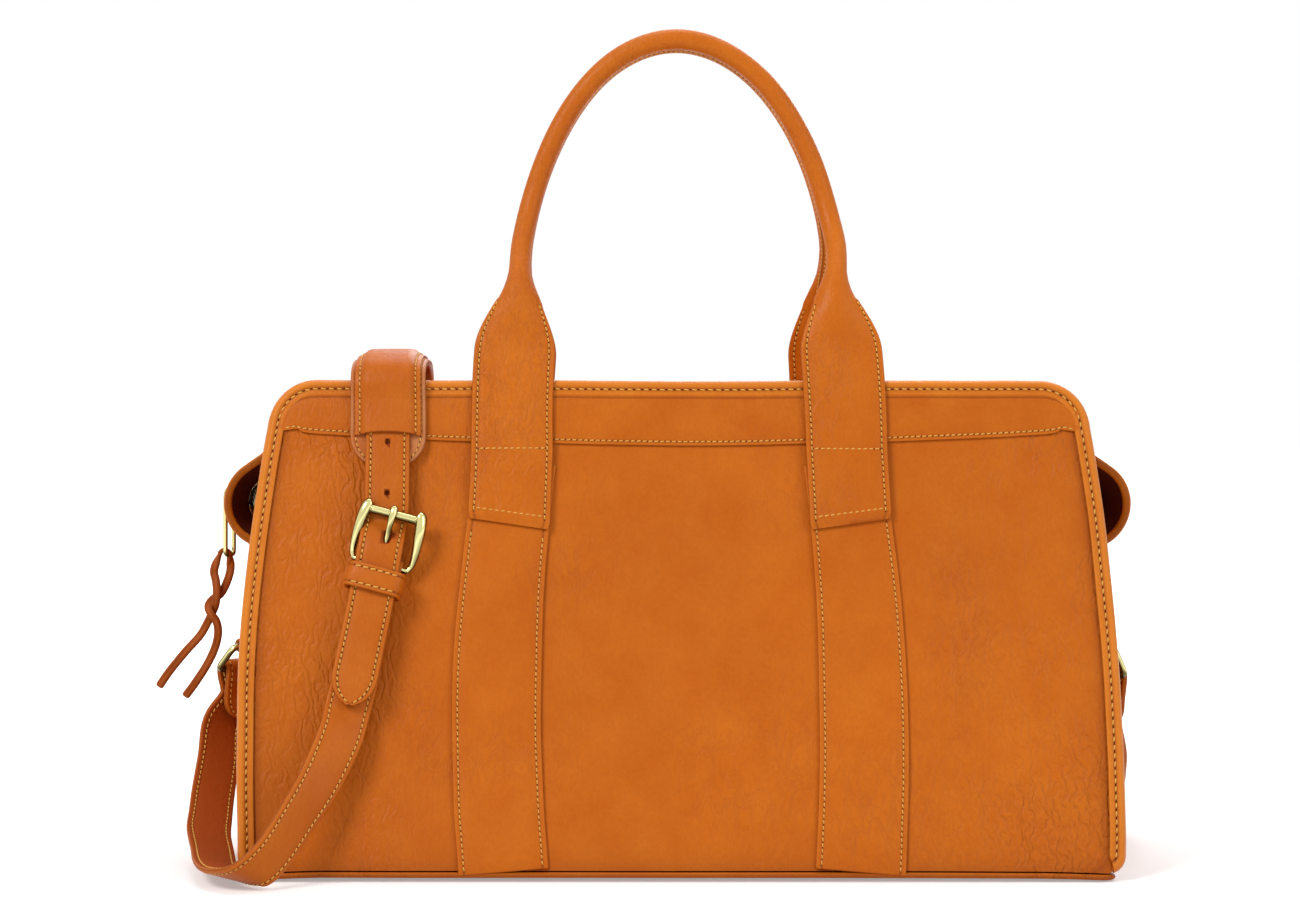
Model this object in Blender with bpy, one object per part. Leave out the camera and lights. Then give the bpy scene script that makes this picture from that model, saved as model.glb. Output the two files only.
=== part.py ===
# Zip-top leather carrying bag with two rolled handles and a shoulder strap.
# Metres, +Z up, front towards -Y, origin at the middle of the base's underside.

import math

import bmesh
import bpy
from mathutils import Vector

# Body
base_width = 0.500
base_depth = 0.230
mouth_depth = 0.100
body_height = 0.283
side_draw_in = 0.0145
side_straight_height = 0.100
side_draw_power = 1.7
top_corner_radius = 0.028
bottom_corner_radius = 0.010
clearance = 0.0003

# Leather of the body
panel_thickness = 0.0025
base_thickness = 0.0030
base_overhang = 0.0015
board_thickness = 0.0030
board_margin = 0.012
binding_width = 0.010
binding_thickness = 0.0015
seam_width = 0.008
gusset_thickness = 0.0020
gusset_pinch = 0.022
gusset_pinch_start = 0.190
gusset_top_drop = 0.037
yoke_thickness = 0.0015
yoke_drop_side = 0.031
yoke_drop_middle = 0.0385
band_width = 0.0515
band_thickness = 0.0020
band_half_spacing = 0.0990
band_bow = 0.0055
band_bow_height = 0.095
band_top_drop = 0.006
tab_width = 0.0475
tab_thickness = 0.0025
tab_half_spacing = 0.0973
tab_length_outer = 0.0396
tab_length_inner = 0.0466
fold_below_yoke = 0.0029
fold_gap = 0.0006

# Handles
handle_half_span = 0.0924
handle_rise_share = 0.54417
handle_spring_share = 0.11661
handle_radius = 0.0062
handle_meet_gap = 0.0010
handle_meet_length = 0.066
flare_start_share = 0.19929
flare_length = 0.054

# Zip
zip_flap_thickness = 0.0020
zip_drop = 0.0062
zip_tape_half_width = 0.010
zip_tape_show = 0.0070
zip_tape_thickness = 0.0012
zip_tooth_thickness = 0.0024
zip_tooth_half_width = 0.0028
zip_run_inset = 0.0450
zip_wall_gap = 0.0006
zip_hinge_inset = 0.0012
ear_centre_inset = 0.0100
ear_centre_drop = 0.0735
ear_radius = 0.0252
ear_half_depth = 0.036
ear_thickness = 0.0028
ear_fold_depth = 0.0080
ear_arc_top = math.radians(58)
ear_arc_bottom = math.radians(-62)
ear_foot_drop = 0.0415
slider_angle = math.radians(12)
slider_length = 0.0130
slider_width = 0.0095
slider_thickness = 0.0016
bail_radius = 0.0034
bail_wire_radius = 0.0009
pull_length_share = 0.14134
pull_width = 0.0125
pull_corner_radius = 0.0022
pull_wire_radius = 0.0014
thong_width = 0.0040
thong_thickness = 0.0022
thong_reach = 0.0400
thong_drop_share = 0.26148
knot_drop = 0.0200
knot_height = 0.0050
knot_wall = 0.0020

# Shoulder strap
strap_width = 0.0240
strap_thickness = 0.0030
strap_inset = 0.0810
strap_drift = 0.0170
strap_drift_rise = 0.0360
strap_drift_length = 0.107
strap_drift_power = 1.15
ring_wire_radius = 0.0020
ring_inner_width = 0.0292
ring_inner_height = 0.0160
ring_corner_radius = 0.0045
ring_height_share = 0.43816
ring_stand_off = 0.0115
left_ring_turn = math.radians(-39)
left_ring_tilt = math.radians(46)
right_ring_turn = math.radians(28)
right_ring_tilt = math.radians(62)
ring_tab_half_length = 0.034
ring_tab_thickness = 0.0020
ring_tab_width = 0.0240
end_tab_length = 0.031
rivet_radius = 0.0029
rivet_height = 0.0012
rivet_drop = 0.020

# Buckle and keeper
keeper_drop = 0.1140
keeper_length = 0.0134
keeper_thickness = 0.0018
keeper_inner_level = 0.0012
heel_rise = 0.0115
buckle_reach = 0.0300
buckle_half_width = 0.0175
buckle_wire_radius = 0.0023
buckle_corner_radius = 0.0060
heel_radius = 0.0015
prong_radius = 0.0015
prong_eye_gap = 0.0002
prong_slot_half_length = 0.0074
prong_slot_width = 0.0050
prong_slot_rise = 0.0085
heel_slot_drop = 0.0070
return_length = 0.0240
tail_drop = 0.0710
tail_taper_length = 0.0140

# Shoulder pad
pad_width = 0.0420
pad_thickness = 0.0040
pad_end_rise = 0.0610
pad_taper_length = 0.0140
pad_loop_rise = 0.0180
pad_loop_thickness = 0.0022
pad_crown = 0.0060
crest_half_depth = 0.0300
crest_shoulder_drop = 0.0010
crest_turn_drop = 0.0130

# Fineness of the curves
path_steps = 5
corner_steps = 6
wire_sides = 8
cut_overrun = 0.002

# Worked out
half_width = base_width / 2
half_depth = base_depth / 2
lean_angle = math.atan2(half_depth - mouth_depth / 2, body_height)
low_edge = base_thickness + clearance
panel_low = low_edge + panel_thickness * math.sin(lean_angle)
yoke_level = clearance + yoke_thickness
tab_level = clearance + band_thickness + clearance
strap_half = strap_thickness / 2
pad_level = yoke_level + 2 * clearance
strap_level = pad_level + pad_thickness + clearance + strap_half
pad_loop_level = strap_level + strap_half + clearance
return_level = keeper_inner_level + keeper_thickness + clearance + strap_half
heel_level = return_level + strap_half + clearance + heel_radius
lower_level = heel_level + heel_radius + clearance + strap_half
tail_level = lower_level + strap_thickness + clearance
top_bar_level = strap_level + strap_half + clearance + buckle_wire_radius
strap_x = strap_inset - half_width
ring_height = body_height * ring_height_share
keeper_height = body_height - keeper_drop
zip_height = body_height - zip_drop
zip_run_half_length = half_width - zip_run_inset
fold_height = body_height - yoke_drop_middle - fold_below_yoke
tab_bottom_outer = fold_height - tab_length_outer
tab_bottom_inner = fold_height - tab_length_inner
flare_start_height = fold_height + body_height * flare_start_share
handle_spring_height = flare_start_height + body_height * handle_spring_share
handle_rise = body_height * handle_rise_share
pull_length = body_height * pull_length_share
thong_drop = body_height * thong_drop_share
ear_centre_x = half_width - ear_centre_inset
ear_centre_height = body_height - ear_centre_drop
ear_foot_height = ear_centre_height - ear_foot_drop
strap_drift_height = keeper_height + strap_drift_rise
pad_end_height = keeper_height + pad_end_rise
pad_loop_height = pad_end_height + pad_loop_rise
crest_turn_height = body_height - crest_turn_drop

# Places along the strap, as shares of the half width, the half depth and the body height.
# Each row is a centre followed by the direction across the strap.
left_run_shares = (
    ((-1.076, 0.030, 0.265), (0.74, 0.65, -0.14)),
    ((-1.094, -0.070, 0.198), (0.88, 0.45, -0.16)),
    ((-1.100, -0.235, 0.122), (0.94, 0.30, -0.14)),
    ((-1.094, -0.420, 0.074), (0.95, 0.27, -0.12)),
    ((-1.073, -0.650, 0.041), (0.92, 0.34, -0.16)),
    ((-1.050, -0.935, 0.027), (0.87, 0.42, -0.20)),
    ((-1.018, -1.160, 0.023), (0.79, 0.48, -0.32)),
    ((-0.962, -1.285, 0.030), (0.70, 0.52, -0.46)),
    ((-0.910, -1.262, 0.062), (0.62, 0.50, -0.60)),
    ((-0.849, -1.160, 0.143), (0.66, 0.46, -0.60)),
    ((-0.804, -1.060, 0.211), (0.74, 0.34, -0.56)),
    ((-0.766, -0.980, 0.287), (0.84, 0.16, -0.48)),
    ((-0.752, -0.910, 0.338), (0.92, 0.04, -0.38)),
)
right_run_shares = (
    ((-1.044, -0.085, 0.272), (0.52, -0.85, 0.00)),
    ((-1.060, -0.250, 0.200), (0.74, -0.67, 0.00)),
    ((-1.068, -0.500, 0.132), (0.88, -0.46, 0.00)),
    ((-1.066, -0.800, 0.070), (0.94, -0.34, 0.02)),
    ((-1.040, -1.090, 0.030), (0.95, -0.28, -0.12)),
    ((-0.980, -1.260, 0.036), (0.93, -0.16, -0.34)),
)
# The zip end's lead: shares of the way from the mouth to the ear, across and up.
lead_shares = ((0.18, 0.06), (0.42, 0.36), (0.70, 0.76))
# Along the back: shares of the half width and the body height, and of the strap's level.
back_run_shares = (
    (0.900, 0.088, 4.00),
    (0.740, 0.145, 3.10),
    (0.480, 0.230, 2.20),
    (0.180, 0.335, 1.50),
    (-0.120, 0.450, 1.15),
    (-0.370, 0.565, 1.00),
    (-0.560, 0.680, 1.00),
    (-0.655, 0.770, 1.00),
)

colours = {
    "tan_leather": ((0.56, 0.17, 0.03), 0.5, 0.0),
    "pale_edge": ((0.72, 0.27, 0.07), 0.5, 0.0),
    "board": ((0.25, 0.20, 0.15), 0.8, 0.0),
    "zip_tape": ((0.02, 0.02, 0.02), 0.8, 0.0),
    "brass": ((0.62, 0.56, 0.22), 0.25, 1.0),
}


# Making objects


def finish_material(name):
    made = bpy.data.materials.get(name)
    if made:
        return made
    colour, roughness, metallic = colours[name]
    made = bpy.data.materials.new(name)
    made.use_nodes = True
    shader = made.node_tree.nodes["Principled BSDF"]
    shader.inputs["Base Color"].default_value = (*colour, 1)
    shader.inputs["Roughness"].default_value = roughness
    shader.inputs["Metallic"].default_value = metallic
    return made


def add_object(name, bm, finish, origin=(0, 0, 0)):
    bmesh.ops.recalc_face_normals(bm, faces=bm.faces)
    if bm.calc_volume(signed=True) < 0:
        bmesh.ops.reverse_faces(bm, faces=bm.faces)
    bmesh.ops.translate(bm, verts=bm.verts, vec=-Vector(origin))
    mesh = bpy.data.meshes.new(name)
    bm.to_mesh(mesh)
    bm.free()
    mesh.shade_smooth()
    mesh.set_sharp_from_angle(angle=math.radians(35))
    made = bpy.data.objects.new(name, mesh)
    made.location = origin
    bpy.context.scene.collection.objects.link(made)
    mesh.materials.append(finish_material(finish))
    return made


def add_boolean(target, other, operation):
    other.hide_render = True
    other.display_type = "WIRE"
    change = target.modifiers.new(other.name, "BOOLEAN")
    change.operation = operation
    change.object = other


def skin_loops(bm, loops, ring=False):
    """Joins closed loops of equal counts. The first and last are capped unless ring is set."""
    rows = [[bm.verts.new(point) for point in loop] for loop in loops]
    count = len(rows[0])
    pairs = list(zip(rows, rows[1:]))
    if ring:
        pairs.append((rows[-1], rows[0]))
    for first, second in pairs:
        for i in range(count):
            j = (i + 1) % count
            bm.faces.new((first[i], first[j], second[j], second[i]))
    if not ring:
        bm.faces.new(rows[0])
        bm.faces.new(rows[-1])


# Curves


def blend_cubic(a, b, c, d, t):
    first = (c - a) * t
    second = (2 * a - 5 * b + 4 * c - d) * t**2
    third = (3 * b - a - 3 * c + d) * t**3
    return (2 * b + first + second + third) / 2


def smooth_path(points, steps=path_steps):
    """Points on a smooth curve that passes through the given points."""
    points = [Vector(p) for p in points]
    ends = [2 * points[0] - points[1], *points, 2 * points[-1] - points[-2]]
    path = []
    for a, b, c, d in zip(ends, ends[1:], ends[2:], ends[3:]):
        path += [blend_cubic(a, b, c, d, step / steps) for step in range(steps)]
    path.append(points[-1])
    return path


def spread(first, last, steps):
    """Equal steps from first to last, both included."""
    return [first + (last - first) * step / steps for step in range(steps + 1)]


def tangents(path, closed=False):
    found = []
    last = len(path) - 1
    for i in range(len(path)):
        before = path[i - 1] if i or closed else path[0]
        after = path[(i + 1) % len(path)] if i < last or closed else path[last]
        found.append((after - before).normalized())
    return found


def offset_line(line, distance):
    """Moves a line of 2-D points to its left by distance, with mitred corners."""
    line = [Vector(p) for p in line]
    moved = []
    for i, point in enumerate(line):
        normals = []
        for a, b in ((i - 1, i), (i, i + 1)):
            if a >= 0 and b < len(line):
                along = (line[b] - line[a]).normalized()
                normals.append(Vector((-along.y, along.x)))
        mean = sum(normals, Vector((0, 0))).normalized()
        moved.append(point + mean * distance / mean.dot(normals[0]))
    return moved


def thick_line(line, thickness):
    """The outline of a line of 2-D points that has been given a thickness."""
    return offset_line(line, thickness / 2) + offset_line(line, -thickness / 2)[::-1]


def smooth_share(value):
    t = min(1.0, max(0.0, value))
    return t * t * (3 - 2 * t)


# Kinds of piece


def side_half_width(z):
    """Half of a panel's width at a height, without its rounded corners."""
    rise = max(0.0, z - side_straight_height) / (body_height - side_straight_height)
    return half_width - side_draw_in * rise**side_draw_power


def panel_depth(z):
    """Distance of a panel's outer face from the middle plane."""
    return half_depth - z * math.tan(lean_angle)


def on_panel(x, z, level=0.0, side=-1):
    """A point that stands level above the outer face of the front (-1) or back (1) panel."""
    y = panel_depth(z) + level * math.cos(lean_angle)
    return Vector((x, side * y, z + level * math.sin(lean_angle)))


def plate(name, outline, level, thickness, finish, side=-1):
    """A flat piece parallel to a panel: its inner face at level, its outer face thickness above."""
    bm = bmesh.new()
    skin_loops(bm, [[on_panel(x, z, at, side) for x, z in outline] for at in (level, level + thickness)])
    return add_object(name, bm, finish)


def depth_extrusion(name, outline, depths, finish, origin=(0, 0, 0)):
    """An outline of (x, z) points drawn out between two depths."""
    bm = bmesh.new()
    skin_loops(bm, [[(x, y, z) for x, z in outline] for y in depths])
    return add_object(name, bm, finish, origin)


def ribbon_mesh(bm, centres, acrosses, half_widths, thickness):
    """A flat strap along centres, as wide as the directions in acrosses say."""
    loops = []
    for centre, across, along, half in zip(centres, acrosses, tangents(centres), half_widths):
        across = (across - across.dot(along) * along).normalized() * half
        normal = along.cross(across).normalized() * thickness / 2
        loops.append([centre + across + normal, centre - across + normal])
        loops[-1] += [centre - across - normal, centre + across - normal]
    skin_loops(bm, loops)


def tube_mesh(bm, path, radii, plane_normal, closed=False, sides=wire_sides):
    """A wire whose path lies near one plane."""
    loops = []
    for centre, along, radius in zip(path, tangents(path, closed), radii):
        out = along.cross(plane_normal).normalized()
        up = out.cross(along).normalized()
        turns = [2 * math.pi * k / sides for k in range(sides)]
        loops.append([centre + radius * (math.cos(a) * out + math.sin(a) * up) for a in turns])
    skin_loops(bm, loops, ring=closed)


def rounded_rectangle(half_a, half_b, radius, steps=3):
    """Points of a rounded rectangle, each as (a, b), anticlockwise."""
    points = []
    for turn, (sign_a, sign_b) in enumerate(((1, 1), (-1, 1), (-1, -1), (1, -1))):
        for angle in spread(turn * math.pi / 2, (turn + 1) * math.pi / 2, steps):
            a = sign_a * (half_a - radius) + radius * math.cos(angle)
            b = sign_b * (half_b - radius) + radius * math.sin(angle)
            points.append((a, b))
    return points


# The body


def panel_outline(inset, steps=corner_steps):
    """A panel's edge, from bottom right over the top to bottom left, moved in by inset."""
    turn = bottom_corner_radius
    right = []
    for angle in spread(-math.pi / 2, 0, 3):
        x = side_half_width(0) - turn + (turn - inset) * math.cos(angle)
        right.append((x, panel_low + turn * (1 + math.sin(angle))))
    corner_z = body_height - top_corner_radius
    right += [(side_half_width(z) - inset, z) for z in spread(panel_low + turn, corner_z, steps)[1:]]
    corner_x = side_half_width(corner_z) - top_corner_radius
    round_in = top_corner_radius - inset
    for angle in spread(0, math.pi / 2, steps)[1:]:
        right.append((corner_x + round_in * math.cos(angle), corner_z + round_in * math.sin(angle)))
    return right + [(-x, z) for x, z in reversed(right)]


def make_base():
    bm = bmesh.new()
    half_x = side_half_width(0) - bottom_corner_radius / 2
    rim = rounded_rectangle(half_x, half_depth + base_overhang, bottom_corner_radius)
    skin_loops(bm, [[(x, y, z) for x, y in rim] for z in (0, base_thickness)])
    add_object("base_panel", bm, "tan_leather")
    bm = bmesh.new()
    wall = panel_thickness + gusset_thickness + board_margin
    rim = rounded_rectangle(half_x - binding_width - board_margin, half_depth - wall, bottom_corner_radius)
    skin_loops(bm, [[(x, y, low_edge + z) for x, y in rim] for z in (0, board_thickness)])
    add_object("base_board", bm, "board")


def make_panel(word, side):
    plate(f"{word}_panel", panel_outline(binding_thickness + clearance), -panel_thickness, panel_thickness,
          "tan_leather", side)


def make_binding(word, side):
    """A strip folded round a panel's side and top edges, open towards the panel's middle."""
    outer = binding_thickness
    back = panel_thickness + clearance + gusset_thickness + clearance
    profile = (
        (0, outer + clearance),
        (binding_width, outer + clearance),
        (binding_width, clearance),
        (outer, clearance),
        (outer, -back),
        (seam_width, -back),
        (seam_width, -back - outer),
        (0, -back - outer),
    )
    rims = [panel_outline(inset)[3:-3] for inset, level in profile]
    loops = []
    for i in range(len(rims[0])):
        loops.append([on_panel(*rim[i], level, side) for rim, (inset, level) in zip(rims, profile)])
    bm = bmesh.new()
    skin_loops(bm, loops)
    add_object(f"{word}_binding", bm, "pale_edge")


def yoke_bottom(x):
    """Height of the yoke's lower edge, which hangs lower in the middle."""
    away = (x / side_half_width(body_height)) ** 2
    return body_height - yoke_drop_middle + (yoke_drop_middle - yoke_drop_side) * away


def make_yoke(word, side):
    edge = binding_width + clearance
    top = [(x, z) for x, z in panel_outline(edge) if z > body_height - yoke_drop_side]
    reach = side_half_width(body_height - yoke_drop_side) - edge
    outline = top + [(x, yoke_bottom(x)) for x in spread(-reach, reach, 2 * corner_steps)]
    plate(f"{word}_yoke", outline, clearance, yoke_thickness, "tan_leather", side)


def gusset_section(z):
    """The side wall's middle line at a height, as (depth, distance from the middle), front to back."""
    reach = panel_depth(z) - (panel_thickness + clearance) / math.cos(lean_angle) - gusset_thickness / 2
    lift = max(0.0, z - gusset_pinch_start) / (body_height - gusset_pinch_start)
    wall = side_half_width(z) - binding_width - gusset_thickness / 2
    turn = bottom_corner_radius
    fall = max(0.0, low_edge + turn - z)
    cut_in = turn - math.sqrt(turn**2 - fall**2)
    flange = side_half_width(z) - 2 * binding_thickness - cut_in
    line = [(-reach, flange)]
    for share in spread(-1, 1, 2 * path_steps):
        line.append((share * reach, wall - gusset_pinch * lift * (1 - share**2)))
    line.append((reach, flange))
    return line


def make_gusset(word, side):
    top = body_height - gusset_top_drop
    bottom_turn = spread(low_edge, low_edge + bottom_corner_radius, 2)
    heights = bottom_turn + spread(low_edge + bottom_corner_radius, top, corner_steps)[1:]
    loops = []
    for z in heights:
        outline = thick_line(gusset_section(z), gusset_thickness)
        loops.append([(side * x, y, z) for y, x in outline])
    bm = bmesh.new()
    skin_loops(bm, loops)
    add_object(f"{word}_gusset", bm, "tan_leather")


def band_centre(z):
    away = ((z - band_bow_height) / (tab_bottom_outer - band_bow_height)) ** 2
    return band_half_spacing + band_bow * (1 - away)


def make_bands(word, side):
    """The upright straps sewn to a panel, and the sewn lower ends of the handle tabs over them."""
    top = fold_height - band_top_drop
    for hand, sign in (("left", -1), ("right", 1)):
        heights = spread(panel_low + clearance, top, 2 * corner_steps)
        outline = []
        for edge in (-1, 1):
            row = []
            for z in heights:
                narrow = smooth_share((z - side_straight_height) / (top - side_straight_height))
                half = (band_width + (tab_width - band_width) * narrow) / 2 - clearance
                row.append((sign * band_centre(z) + edge * half, z))
            outline += row if edge < 0 else row[::-1]
        plate(f"{word}_{hand}_band", outline, clearance, band_thickness, "tan_leather", side)
        half = tab_width / 2
        fold = fold_height - fold_gap
        outline = [
            (sign * (tab_half_spacing + half), fold),
            (sign * (tab_half_spacing - half), fold),
            (sign * (band_half_spacing - half), tab_bottom_inner),
            (sign * (band_half_spacing + half), tab_bottom_outer),
        ]
        plate(f"{word}_{hand}_tab", outline, tab_level, tab_thickness, "tan_leather", side)


# The handles


def handle_path():
    """The handle's middle line in the panel's plane, left foot to right foot, as (x, z)."""
    foot = fold_height + fold_gap
    leg = []
    for z in spread(foot, flare_start_height, 3) + spread(flare_start_height, handle_spring_height, 5)[1:]:
        share = (z - foot) / (handle_spring_height - foot)
        leg.append(Vector((-tab_half_spacing + (tab_half_spacing - handle_half_span) * share**2, z)))
    arch = []
    for angle in spread(math.pi, 0, 4 * corner_steps)[1:-1]:
        rise = handle_rise * math.sin(angle)
        arch.append(Vector((handle_half_span * math.cos(angle), handle_spring_height + rise)))
    return leg + arch + [Vector((-p.x, p.y)) for p in reversed(leg)]


def make_handle(word, side):
    """Flat tabs that flare in to a round rolled grip, standing on the sewn folds."""
    path = handle_path()
    turns = [2 * math.pi * k / 12 for k in range(12)]
    flat_centre = tab_level + tab_thickness / 2
    loops = []
    for point, along in zip(path, tangents(path)):
        roll = smooth_share((point.y - flare_start_height) / flare_length)
        half_wide = tab_width / 2 + (handle_radius - tab_width / 2) * roll
        half_thick = tab_thickness / 2 + (handle_radius - tab_thickness / 2) * roll
        level = flat_centre + (handle_radius - flat_centre) * roll
        # above the spring both handles lean in and rest side by side
        meet = smooth_share((point.y - handle_spring_height) / handle_meet_length)
        beside = (handle_radius + handle_meet_gap - panel_depth(point.y)) / math.cos(lean_angle)
        level += (beside - level) * meet
        power = 0.35 + 0.65 * roll
        loop = []
        for angle in turns:
            wide = math.copysign(abs(math.cos(angle)) ** power, math.cos(angle)) * half_wide
            thick = math.copysign(abs(math.sin(angle)) ** power, math.sin(angle)) * half_thick
            loop.append(on_panel(point.x + along.y * wide, point.y - along.x * wide, level + thick, side))
        loops.append(loop)
    bm = bmesh.new()
    skin_loops(bm, loops)
    add_object(f"{word}_handle", bm, "tan_leather", on_panel(0, fold_height, tab_level + tab_thickness, side))


# The zip


def zip_wall_depth():
    """Depth of the binding's inner leaf beside the zip, where a flap's sewn edge lies."""
    stack = panel_thickness + 2 * clearance + gusset_thickness + binding_thickness
    return panel_depth(zip_height) - stack / math.cos(lean_angle) - zip_wall_gap


def tape_profile(side):
    """A zip half's section across the bag: the tape, and its teeth along the middle."""
    tape = zip_tape_thickness / 2
    tooth = zip_tooth_thickness / 2
    shape = (
        (zip_tape_half_width, tape),
        (zip_tooth_half_width, tape),
        (zip_tooth_half_width, tooth),
        (clearance, tooth),
        (clearance, -tooth),
        (zip_tooth_half_width, -tooth),
        (zip_tooth_half_width, -tape),
        (zip_tape_half_width, -tape),
    )
    return [(side * y, z) for y, z in shape]


def make_zip_flaps():
    for side, word in ((-1, "front"), (1, "back")):
        edge = zip_wall_depth()
        hinge = (0, side * (edge - zip_hinge_inset), zip_height)
        half = zip_flap_thickness / 2
        reach = zip_run_half_length
        section = rounded_rectangle((edge - zip_tape_show) / 2, half, half / 2, 1)
        middle = side * (edge + zip_tape_show) / 2
        bm = bmesh.new()
        skin_loops(bm, [[(x, middle + y, zip_height + z) for y, z in section] for x in (-reach, reach)])
        add_object(f"{word}_zip_flap", bm, "tan_leather", hinge)
        tape_height = zip_height - half - clearance - zip_tape_thickness / 2
        bm = bmesh.new()
        skin_loops(bm, [[(x, y, tape_height + z) for y, z in tape_profile(side)] for x in (-reach, reach)])
        add_object(f"{word}_zip_tape", bm, "zip_tape", hinge)


def ear_line():
    """The middle line of a zip end's leather, from the mouth round the ear to its foot, as (x, z)."""
    arc = []
    for angle in spread(ear_arc_top, ear_arc_bottom, 2 * corner_steps):
        rise = ear_radius * math.sin(angle)
        arc.append(Vector((ear_centre_x + ear_radius * math.cos(angle), ear_centre_height + rise)))
    start = Vector((zip_run_half_length + clearance, zip_height))
    gap = arc[0] - start
    lead = [start]
    for share_x, share_z in lead_shares:
        lead.append(Vector((start.x + gap.x * share_x, start.y + gap.y * share_z)))
    foot_x = side_half_width(ear_foot_height) - binding_width + ear_thickness / 2 + clearance
    foot_top = ear_foot_height + ear_radius / 3
    foot = [Vector((foot_x + ear_thickness, foot_top)), Vector((foot_x, ear_foot_height))]
    return smooth_path([*lead, arc[0]], 3)[:-1] + arc + foot


def folded(x, z, depth):
    """A zip end's point, drawn towards the ear's centre as far as the leather is folded in at this depth."""
    reach = Vector((abs(x) - ear_centre_x, z - ear_centre_height))
    above = (zip_height - z) / (zip_height - ear_centre_height - ear_radius * math.sin(ear_arc_top))
    below = (z - ear_foot_height) / (ear_foot_drop + ear_radius * math.sin(ear_arc_bottom))
    share = (ear_half_depth - max(abs(depth), zip_tape_show)) / (ear_half_depth - zip_tape_show)
    shift = reach.normalized() * ear_fold_depth * share * smooth_share(min(above, below))
    return math.copysign(abs(x) - shift.x, x), z - shift.y


def fold_extrusion(name, outline, depths, finish, fold_at):
    """An outline drawn out between two depths, folded in at each as far as fold_at says."""
    loops = []
    for depth, fold_depth in zip(depths, fold_at):
        places = [folded(x, z, fold_depth) for x, z in outline]
        loops.append([(x, depth, z) for x, z in places])
    bm = bmesh.new()
    skin_loops(bm, loops)
    add_object(name, bm, finish)


def make_ears():
    line = ear_line()
    inner = ear_thickness / 2 + clearance + zip_tape_thickness / 2
    for side, word in ((-1, "left"), (1, "right")):
        outline = [(side * x, z) for x, z in thick_line(line, ear_thickness)]
        for depth_sign, half_word in ((-1, "front"), (1, "back")):
            depths = (depth_sign * zip_tape_show, depth_sign * ear_half_depth)
            fold_extrusion(f"{word}_ear_{half_word}", outline, depths, "tan_leather", depths)
        tape_line = offset_line(line, -inner)[1:-3]
        outline = [(side * x, z) for x, z in thick_line(tape_line, zip_tape_thickness)]
        depths = (-zip_tape_half_width, zip_tape_half_width)
        fold_extrusion(f"{word}_ear_tape", outline, depths, "zip_tape", (0, 0))


def ear_point(radius, angle):
    return (-ear_centre_x - radius * math.cos(angle), ear_centre_height + radius * math.sin(angle))


def make_slider():
    """Two plates either side of the zip, the outer one with a bail that carries the pull."""
    centre = (-ear_centre_x, 0, ear_centre_height)
    tape_outer = ear_radius - ear_thickness / 2 - clearance - ear_fold_depth
    half_turn = slider_length / 2 / tape_outer
    turns = spread(slider_angle - half_turn, slider_angle + half_turn, 4)
    depths = (-slider_width / 2, slider_width / 2)
    inner_top = tape_outer - zip_tape_thickness - clearance
    made = []
    for low in (tape_outer + 2 * clearance, inner_top - slider_thickness):
        rim = [ear_point(low, a) for a in turns] + [ear_point(low + slider_thickness, a) for a in turns[::-1]]
        made.append((rim, low + slider_thickness))
    depth_extrusion("slider_underside", made[1][0], depths, "brass", centre)
    plate_object = depth_extrusion("zip_slider", made[0][0], depths, "brass", centre)
    top = made[0][1] - bail_wire_radius
    reach = 2 * bail_wire_radius + 2 * pull_wire_radius + 4 * clearance
    rises = [(0, -math.pi / 2)]
    for angle in spread(-math.pi / 2, math.pi / 2, corner_steps):
        rises.append((ear_fold_depth + reach * math.cos(angle), angle))
    rises.append((0, math.pi / 2))
    path = []
    for rise, angle in rises:
        radius = top + rise
        x, z = ear_point(radius, slider_angle + bail_radius * math.sin(angle) / radius)
        path.append(Vector((x, 0, z)))
    bm = bmesh.new()
    tube_mesh(bm, path, [bail_wire_radius] * len(path), Vector((0, 1, 0)))
    bail = add_object("bail_shape", bm, "brass", centre)
    add_boolean(plate_object, bail, "UNION")
    eye_radius = made[0][1] + ear_fold_depth + pull_wire_radius + 3 * clearance
    eye = ear_point(eye_radius, slider_angle)
    return Vector((eye[0], 0, eye[1]))


def make_pull(eye):
    """A long wire loop that hangs from the bail, and a thong knotted through its lower end."""
    half = pull_length / 2 - pull_wire_radius
    middle = eye - Vector((0, 0, half))
    rim = rounded_rectangle(pull_width / 2 - pull_wire_radius, half, pull_corner_radius)
    path = [middle + Vector((0, a, b)) for a, b in rim]
    bm = bmesh.new()
    tube_mesh(bm, path, [pull_wire_radius] * len(path), Vector((1, 0, 0)), closed=True)
    add_object("zip_pull", bm, "brass", eye)
    make_thong(eye, middle.z - half)


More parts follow.
